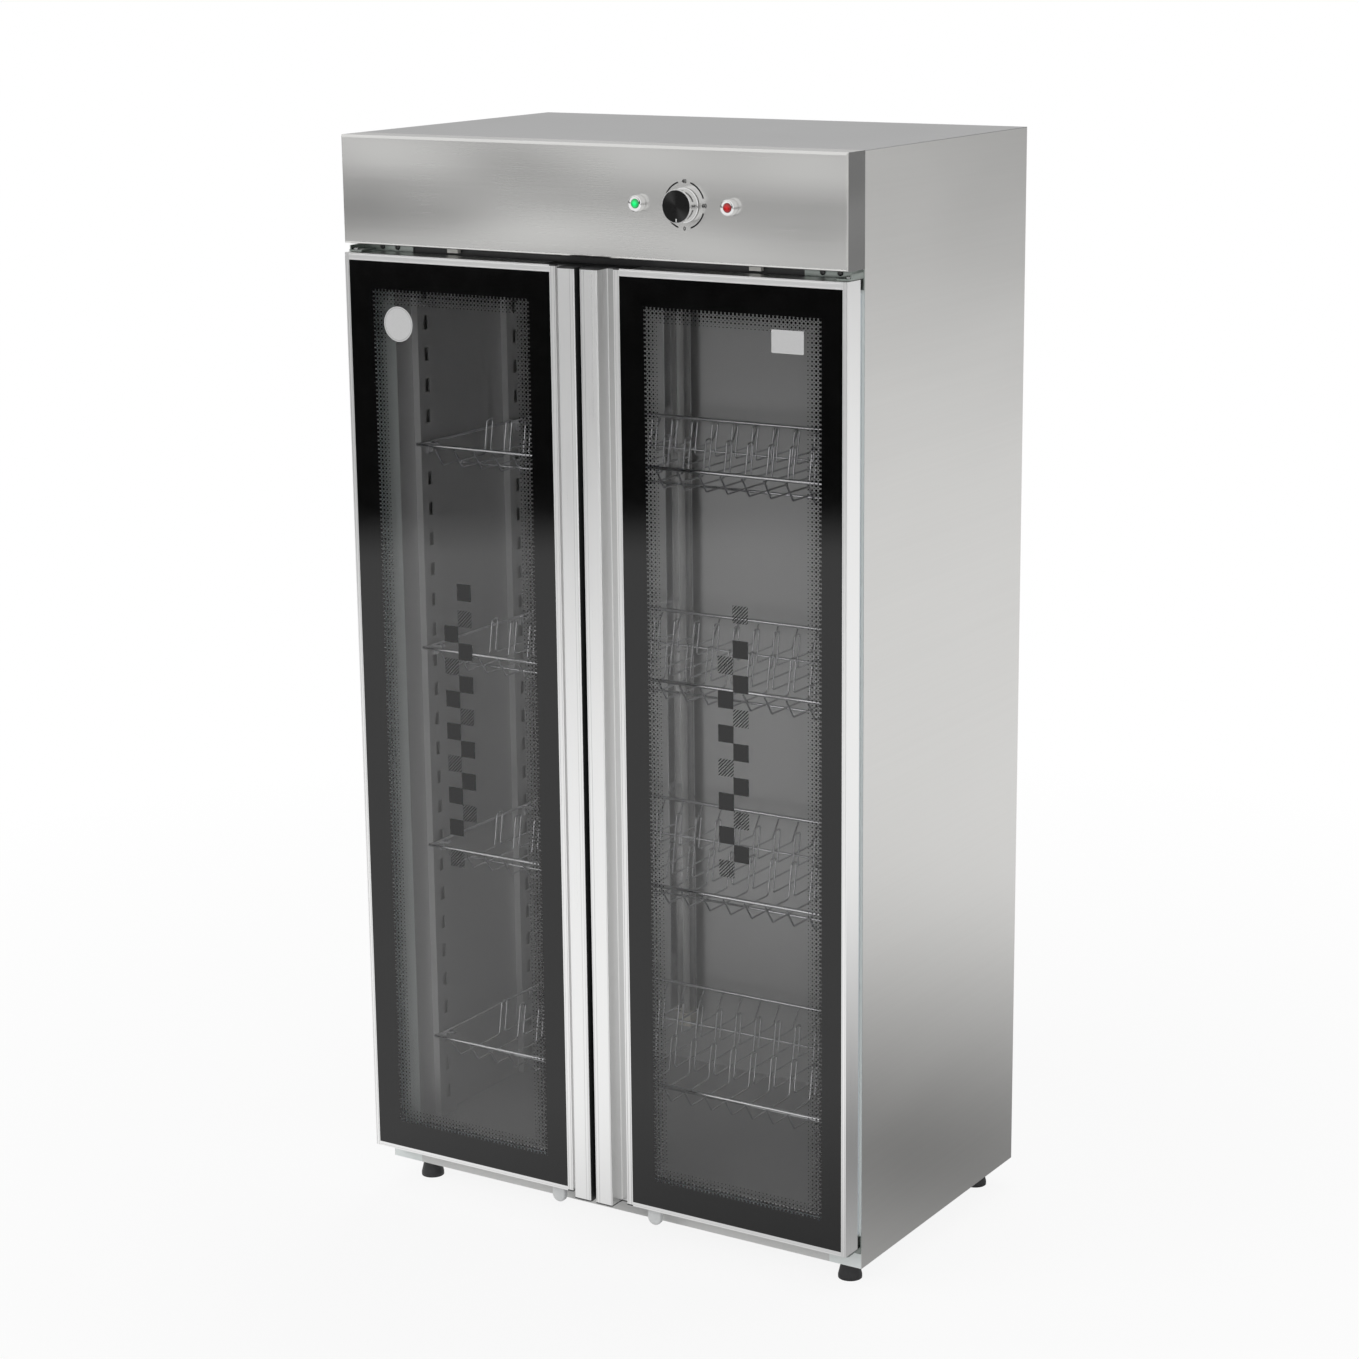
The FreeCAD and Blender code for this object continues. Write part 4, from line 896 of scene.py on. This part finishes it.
class CABINET_OT_stickers(bpy.types.Operator):
    """Stick the blank labels on the panes"""

    bl_idname = "cabinet.stickers"
    bl_label = "Stickers"

    # Middle across and up, then the radius, or half the width and half the height
    ROUND = (-349 * MM, 1461 * MM, 27.5 * MM)
    OBLONG = (351 * MM, 1477 * MM, 27 * MM, 17 * MM)
    THICKNESS = 0.15 * MM

    def execute(self, context):
        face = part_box("left_door_glass")[0].y
        x, z, radius = self.ROUND
        shape = bmesh.new()
        turn(shape, Vector((x, face, z)), ((0.0, 0.0), (radius, 0.0), (radius, -self.THICKNESS),
                                           (0.0, -self.THICKNESS)))
        piece_from(shape, "round_sticker", self.paper(Vector((x, face, z)), radius),
                   "left_door")
        x, z, width, height = self.OBLONG
        shape = bmesh.new()
        block(shape, (x - width, face - self.THICKNESS, z - height), (x + width, face, z + height))
        piece_from(shape, "oblong_sticker", self.paper(Vector((x, face, z)), 1.0),
                   "right_door")
        return {"FINISHED"}

    def paper(self, centre, radius):
        """White label stock with a thin grey rim."""
        shader = new_material("label_stock")
        x, _, z = shader.coordinates()
        reach = distance(x - centre.x, z - centre.z)
        rim = reach.near(radius - 2.2 * MM, 0.5 * MM) * 0.6
        fibre = shader.noise(400.0, 3.0)
        stock = shader.blend(fibre, grey(0.50), grey(0.57))
        return shader.finish_surface(
            base_color=shader.blend(rim, stock, grey(0.22)), roughness=fibre * 0.2 + 0.45)


class CABINET_OT_timer(bpy.types.Operator):
    """Turn the timer knob and print its scale on the fascia"""

    bl_idname = "cabinet.timer"
    bl_label = "Timer"

    # Each number and its angle on the scale, in degrees
    NUMBERS = (("0", -90.0), ("20", 180.0), ("40", 90.0), ("60", 0.0))
    # Each quarter of the scale, in degrees: the gap before its arc, and the arc
    ARC_GAP, ARC_SWEEP = 18, 54
    # The knob's rim, in millimetres: inside its radius, and beyond its back or front
    RIM_BACK = ((0.6, 0.0), (0.0, -0.6), (0.0, -2.4), (0.8, -3.0))
    RIM_FRONT = ((1.1, 3.0), (0.6, 2.4), (0.6, 0.6), (1.0, 0.0), (1.9, 0.0), (2.2, 0.6))
    BORE = 3.2 * MM
    GROOVES = 24

    def execute(self, context):
        self.make_knob()
        self.print_scale(context)
        return {"FINISHED"}

    def make_knob(self):
        """Chromed skirt and rim, black spun face and a pale pointer at nought."""
        front = KNOB_LOW.y - FASCIA_LOW.y
        base = KNOB_HIGH.y - FASCIA_LOW.y
        radius = (KNOB_HIGH.x - KNOB_LOW.x) / 2 - 0.6 * MM
        rim = [(radius - inset * MM, start + depth * MM)
               for start, rows in ((base, self.RIM_BACK), (front, self.RIM_FRONT))
               for inset, depth in rows]
        rim = [(self.BORE, base), *rim, (self.BORE, front + 0.6 * MM), (self.BORE, base)]
        shape = bmesh.new()
        turn(shape, DIAL, rim, segments=96)
        chrome = polished_metal("bright_chrome", grey(0.78), 0.10, 0.05)
        knob = piece_from(shape, "timer_knob_skirt", chrome, "timer_control")
        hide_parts("timer_knob")

        edge = radius - 2.3 * MM
        grooves = [(edge * (1.0 - step / self.GROOVES),
                    front + (0.36 if step % 2 else 0.24) * MM) for step in range(self.GROOVES)]
        shape = bmesh.new()
        turn(shape, DIAL, [(0.0, front + 0.7 * MM), (edge, front + 0.7 * MM), *grooves,
                           (0.0, front + 0.24 * MM)], segments=96)
        piece_from(shape, "timer_knob_face", spun_black("spun_face", grey(0.012), DIAL),
                   "timer_control", 60.0)

        shape = bmesh.new()
        block(shape, (DIAL.x - 0.7 * MM, KNOB_LOW.y + 0.02 * MM, DIAL.z - radius + 2.6 * MM),
              (DIAL.x + 0.7 * MM, KNOB_LOW.y + 0.4 * MM, DIAL.z - radius + 7.4 * MM))
        piece_from(shape, "timer_knob_pointer", ink("pointer_paint", grey(0.75)),
                   "timer_control")

    def print_scale(self, context):
        """Four arcs with a number at each end."""
        settings = context.scene.cabinet_dial
        black = ink("dial_ink", context.scene.cabinet_finishes.ink)
        shape = bmesh.new()
        for quarter in range(4):
            start = math.radians(90 * quarter + self.ARC_GAP)
            self.arc(shape, settings, start, math.radians(self.ARC_SWEEP))
        for text, angle in self.NUMBERS:
            self.figure(shape, text, math.radians(angle), settings)
        piece_from(shape, "dial_print", black, "cabinet")

    def arc(self, shape, settings, start, sweep):
        """A flat stroke that spins round the dial, then gets its thickness."""
        direction = Vector((math.cos(start), 0.0, math.sin(start)))
        centre = DIAL - ALONG_Y * 0.05 * MM
        ends = [shape.verts.new(centre + direction * (settings.radius + offset))
                for offset in (-settings.stroke / 2, settings.stroke / 2)]
        edge = shape.edges.new(ends)
        older = set(shape.faces)
        bmesh.ops.spin(shape, geom=ends + [edge], cent=centre, axis=-ALONG_Y,
                       angle=sweep, steps=18, use_merge=False, use_duplicate=False)
        bmesh.ops.solidify(shape, geom=[face for face in shape.faces if face not in older],
                           thickness=0.05 * MM)

    def figure(self, shape, text, angle, settings):
        """One number, upright, at its angle on the scale."""
        curve = bpy.data.curves.new("figure", "FONT")
        curve.body = text
        curve.size = settings.figure
        curve.extrude = 0.03 * MM
        curve.offset = 0.25 * MM
        curve.align_x = "CENTER"
        curve.align_y = "CENTER"
        holder = new_object("figure", curve)
        bpy.context.view_layer.update()
        mesh = bpy.data.meshes.new_from_object(holder)
        place = DIAL + Vector((math.cos(angle), 0.0, math.sin(angle))) * settings.radius
        place.y -= 0.06 * MM
        mesh.transform(Matrix.Translation(place) @ Matrix.Rotation(math.radians(90), 4, "X"))
        shape.from_mesh(mesh)
        bpy.data.objects.remove(holder)
        bpy.data.curves.remove(curve)
        bpy.data.meshes.remove(mesh)


class CABINET_OT_lamps(bpy.types.Operator):
    """Make the pilot lamps' bezels and lenses"""

    bl_idname = "cabinet.lamps"
    bl_label = "Pilot lamps"

    # Colour and glow of each lens
    COLOURS = {"green_lens": ((0.0, 0.55, 0.12, 1.0), (0.0, 0.90, 0.20, 1.0)),
               "red_lens": ((0.42, 0.002, 0.003, 1.0), (0.34, 0.0, 0.003, 1.0))}
    NECK_RADIUS = 8.0 * MM
    NECK_LENGTH = 28.0 * MM

    def execute(self, context):
        chrome = polished_metal("bezel_chrome", grey(0.82), 0.07)
        bezels = bmesh.new()
        for name, (colour, glow) in self.COLOURS.items():
            low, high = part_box(name)
            centre = Vector(((low.x + high.x) / 2, low.y, (low.z + high.z) / 2))
            radius = (high.x - low.x) / 2 - 2.1 * MM
            self.bezel(bezels, centre, radius, FASCIA_LOW.y - low.y)
            shape = bmesh.new()
            dome = [(radius * math.sin(step * math.pi / 16),
                     1.4 * MM - 1.3 * MM * math.cos(step * math.pi / 16)) for step in range(9)]
            turn(shape, centre, dome + [(radius, 5 * MM), (0.0, 5 * MM)], segments=48)
            lens = piece_from(shape, f"{name}_dome", lamp_lens(name, colour, glow, centre),
                              "cabinet")
            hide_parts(name)
        piece = piece_from(bezels, "bezel_rings", chrome, "cabinet")
        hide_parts("lamp_bezels")
        return {"FINISHED"}

    def bezel(self, shape, centre, radius, proud):
        """A turned rim with a collar on the fascia and a neck behind it."""
        rim = radius + 0.1 * MM
        outer = radius + 5.1 * MM
        turn(shape, centre, (
            (0.0, 5.0 * MM), (rim, 5.0 * MM), (rim, 1.4 * MM), (rim + 1.9 * MM, 0.1 * MM),
            (outer - 1.5 * MM, 0.0), (outer - 0.4 * MM, 1.0 * MM), (outer, proud - 3.0 * MM),
            (outer, proud - 2.2 * MM), (outer - 0.5 * MM, proud - 2.0 * MM),
            (outer - 0.5 * MM, proud - 0.02 * MM), (self.NECK_RADIUS, proud - 0.01 * MM),
            (self.NECK_RADIUS, proud + self.NECK_LENGTH), (0.0, proud + self.NECK_LENGTH)))


class CABINET_OT_screws(bpy.types.Operator):
    """Make cross-head screws for the hinges and the back panel"""

    bl_idname = "cabinet.screws"
    bl_label = "Screws"

    # Shares of a head's radius: its height, the shank, and the recess's arm and half width
    HEIGHT, SHANK, ARM, SLOT = 0.55, 0.55, 0.55, 0.11

    def execute(self, context):
        dark = polished_metal("blackened_screw", grey(0.10), 0.3, 0.2)
        bright = polished_metal("zinc_screw", grey(0.62), 0.22)
        self.make_set("hinge_screws", dark, "hinge_screw_heads", -1.0)
        self.make_set("back_panel_screws", bright, "back_screw_heads", 1.0)
        return {"FINISHED"}

    def loose_parts(self, name):
        """Low and high corners of each separate solid of a CAD node."""
        shape = bmesh.new()
        shape.from_mesh(NODES[name].data)
        bmesh.ops.remove_doubles(shape, verts=shape.verts, dist=1e-6)
        left = set(shape.verts)
        boxes = []
        while left:
            group = {left.pop()}
            fresh = set(group)
            while fresh:
                fresh = {edge.other_vert(vert) for vert in fresh
                         for edge in vert.link_edges} - group
                group |= fresh
            left -= group
            boxes.append([Vector(pick(vert.co[axis] for vert in group) for axis in range(3))
                          for pick in (min, max)])
        shape.free()
        return sorted(boxes, key=lambda ends: tuple(round(value, 4) for value in ends[0]))

    def make_set(self, node, material, name, outwards):
        """All the screws of one CAD node in one piece."""
        shape = bmesh.new()
        for low, high in self.loose_parts(node):
            centre = (low + high) / 2
            radius = (high.x - low.x) / 2
            top = high.y if outwards > 0 else low.y
            self.screw(shape, Vector((centre.x, top, centre.z)), radius, high.y - low.y, outwards)
        piece = piece_from(shape, name, material, "cabinet")
        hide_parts(node)

    def screw(self, shape, top, radius, length, outwards):
        """A pan head with a cross recess, and its shank."""
        inwards = -outwards
        height = radius * self.HEIGHT
        shank = radius * self.SHANK
        head = bmesh.new()
        turn(head, top, ((0.0, 0.0), (radius * 0.62, inwards * height * 0.08),
                         (radius * 0.9, inwards * height * 0.4),
                         (radius, inwards * height * 0.8), (radius, inwards * height),
                         (shank, inwards * height), (shank, inwards * length),
                         (0.0, inwards * length)), segments=20)
        bmesh.ops.recalc_face_normals(head, faces=head.faces)
        cutter = bmesh.new()
        arm, half = radius * self.ARM, radius * self.SLOT
        for across, up in ((arm, half), (half, arm)):
            block(cutter, (top.x - across, top.y - height * 0.6, top.z - up),
                  (top.x + across, top.y + height * 0.6, top.z + up))
        result = self.difference(head, cutter)
        shape.from_mesh(result)
        bpy.data.meshes.remove(result)

    def difference(self, solid, cutter):
        """The mesh of one bmesh with another cut out of it."""
        pair = []
        for name, source in (("solid", solid), ("cutter", cutter)):
            mesh = bpy.data.meshes.new(name)
            source.to_mesh(mesh)
            source.free()
            pair.append(new_object(name, mesh))
        cut = pair[0].modifiers.new("recess", "BOOLEAN")
        cut.operation = "DIFFERENCE"
        cut.solver = "EXACT"
        cut.use_self = True
        cut.object = pair[1]
        view = bpy.context.evaluated_depsgraph_get()
        mesh = bpy.data.meshes.new_from_object(pair[0].evaluated_get(view))
        for item in pair:
            old = item.data
            bpy.data.objects.remove(item)
            bpy.data.meshes.remove(old)
        return mesh


class CABINET_OT_heaters(bpy.types.Operator):
    """Make the quartz tubes with the coiled wire inside them"""

    bl_idname = "cabinet.heaters"
    bl_label = "Heater tubes"

    PITCH = 4.2 * MM

    def execute(self, context):
        low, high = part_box("heater_tubes")
        radius = (high.y - low.y) / 2
        middle = (low.y + high.y) / 2
        length = high.z - low.z
        glass = bmesh.new()
        wire = bmesh.new()
        for x in (low.x + radius, high.x - radius):
            base = Vector((x, middle, low.z))
            turn(glass, base, ((0.0, 0.0), (radius, 0.0), (radius, length), (0.0, length)),
                 Vector((0, 0, 1)), 32)
            self.wind(wire, base + Vector((0.0, 0.0, 6 * MM)), radius * 0.55)
        tubes = piece_from(glass, "quartz_tubes", quartz("milky_quartz"), "cabinet")
        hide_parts("heater_tubes")
        coils = piece_from(wire, "heater_coils",
                           polished_metal("resistance_wire", grey(0.35), 0.35),
                           "cabinet", 80.0)
        turns = coils.modifiers.new("turns", "ARRAY")
        turns.count = int((length - 14 * MM) / self.PITCH)
        turns.use_relative_offset = False
        turns.use_constant_offset = True
        turns.constant_offset_displace = (0.0, 0.0, self.PITCH)
        turns.use_merge_vertices = True
        turns.merge_threshold = 0.02 * MM
        return {"FINISHED"}

    def wind(self, shape, base, radius):
        """One turn of round wire that climbs by its pitch."""
        section = bmesh.ops.create_circle(
            shape, segments=4, radius=0.5 * MM,
            matrix=(Matrix.Translation(base + Vector((radius, 0.0, 0.0)))
                    @ Matrix.Rotation(math.radians(90), 4, "X")))
        verts = section["verts"]
        edges = list({edge for vert in verts for edge in vert.link_edges})
        bmesh.ops.spin(shape, geom=verts + edges, cent=base, axis=(0, 0, 1),
                       dvec=(0, 0, self.PITCH / 10), angle=2 * math.pi, steps=10,
                       use_merge=False, use_duplicate=False)


# ---------------------------------------------------------------- panel and registration

class CABINET_PT_panel(bpy.types.Panel):
    """Buttons that finish the cabinet"""

    bl_label = "Cabinet"
    bl_idname = "CABINET_PT_panel"
    bl_space_type = "VIEW_3D"
    bl_region_type = "UI"
    bl_category = "Cabinet"

    def draw(self, context):
        for operator in OPERATORS:
            self.layout.operator(operator.bl_idname)
        for name in SETTINGS:
            group = getattr(context.scene, name)
            box = self.layout.box()
            for key in group.__annotations__:
                box.prop(group, key)


SETTINGS = {"cabinet_finishes": CabinetFinishes, "cabinet_glass": GlassPrint,
            "cabinet_dial": DialPrint, "cabinet_studio": Studio}
OPERATORS = (CABINET_OT_stage, CABINET_OT_body, CABINET_OT_doors, CABINET_OT_glass,
             CABINET_OT_lip, CABINET_OT_stickers, CABINET_OT_timer, CABINET_OT_lamps,
             CABINET_OT_screws, CABINET_OT_heaters)


def register():
    """Register the settings, the operators and the panel."""
    for name, group in SETTINGS.items():
        bpy.utils.register_class(group)
        setattr(bpy.types.Scene, name, bpy.props.PointerProperty(type=group))
    for item in (*OPERATORS, CABINET_PT_panel):
        bpy.utils.register_class(item)


def unregister():
    """Undo register in reverse order."""
    for item in (CABINET_PT_panel, *reversed(OPERATORS)):
        bpy.utils.unregister_class(item)
    for name, group in reversed(SETTINGS.items()):
        delattr(bpy.types.Scene, name)
        bpy.utils.unregister_class(group)


def main():
    """Make everything in order."""
    register()
    for operator in OPERATORS:
        group, action = operator.bl_idname.split(".")
        getattr(getattr(bpy.ops, group), action)()


if __name__ == "__main__":
    main()
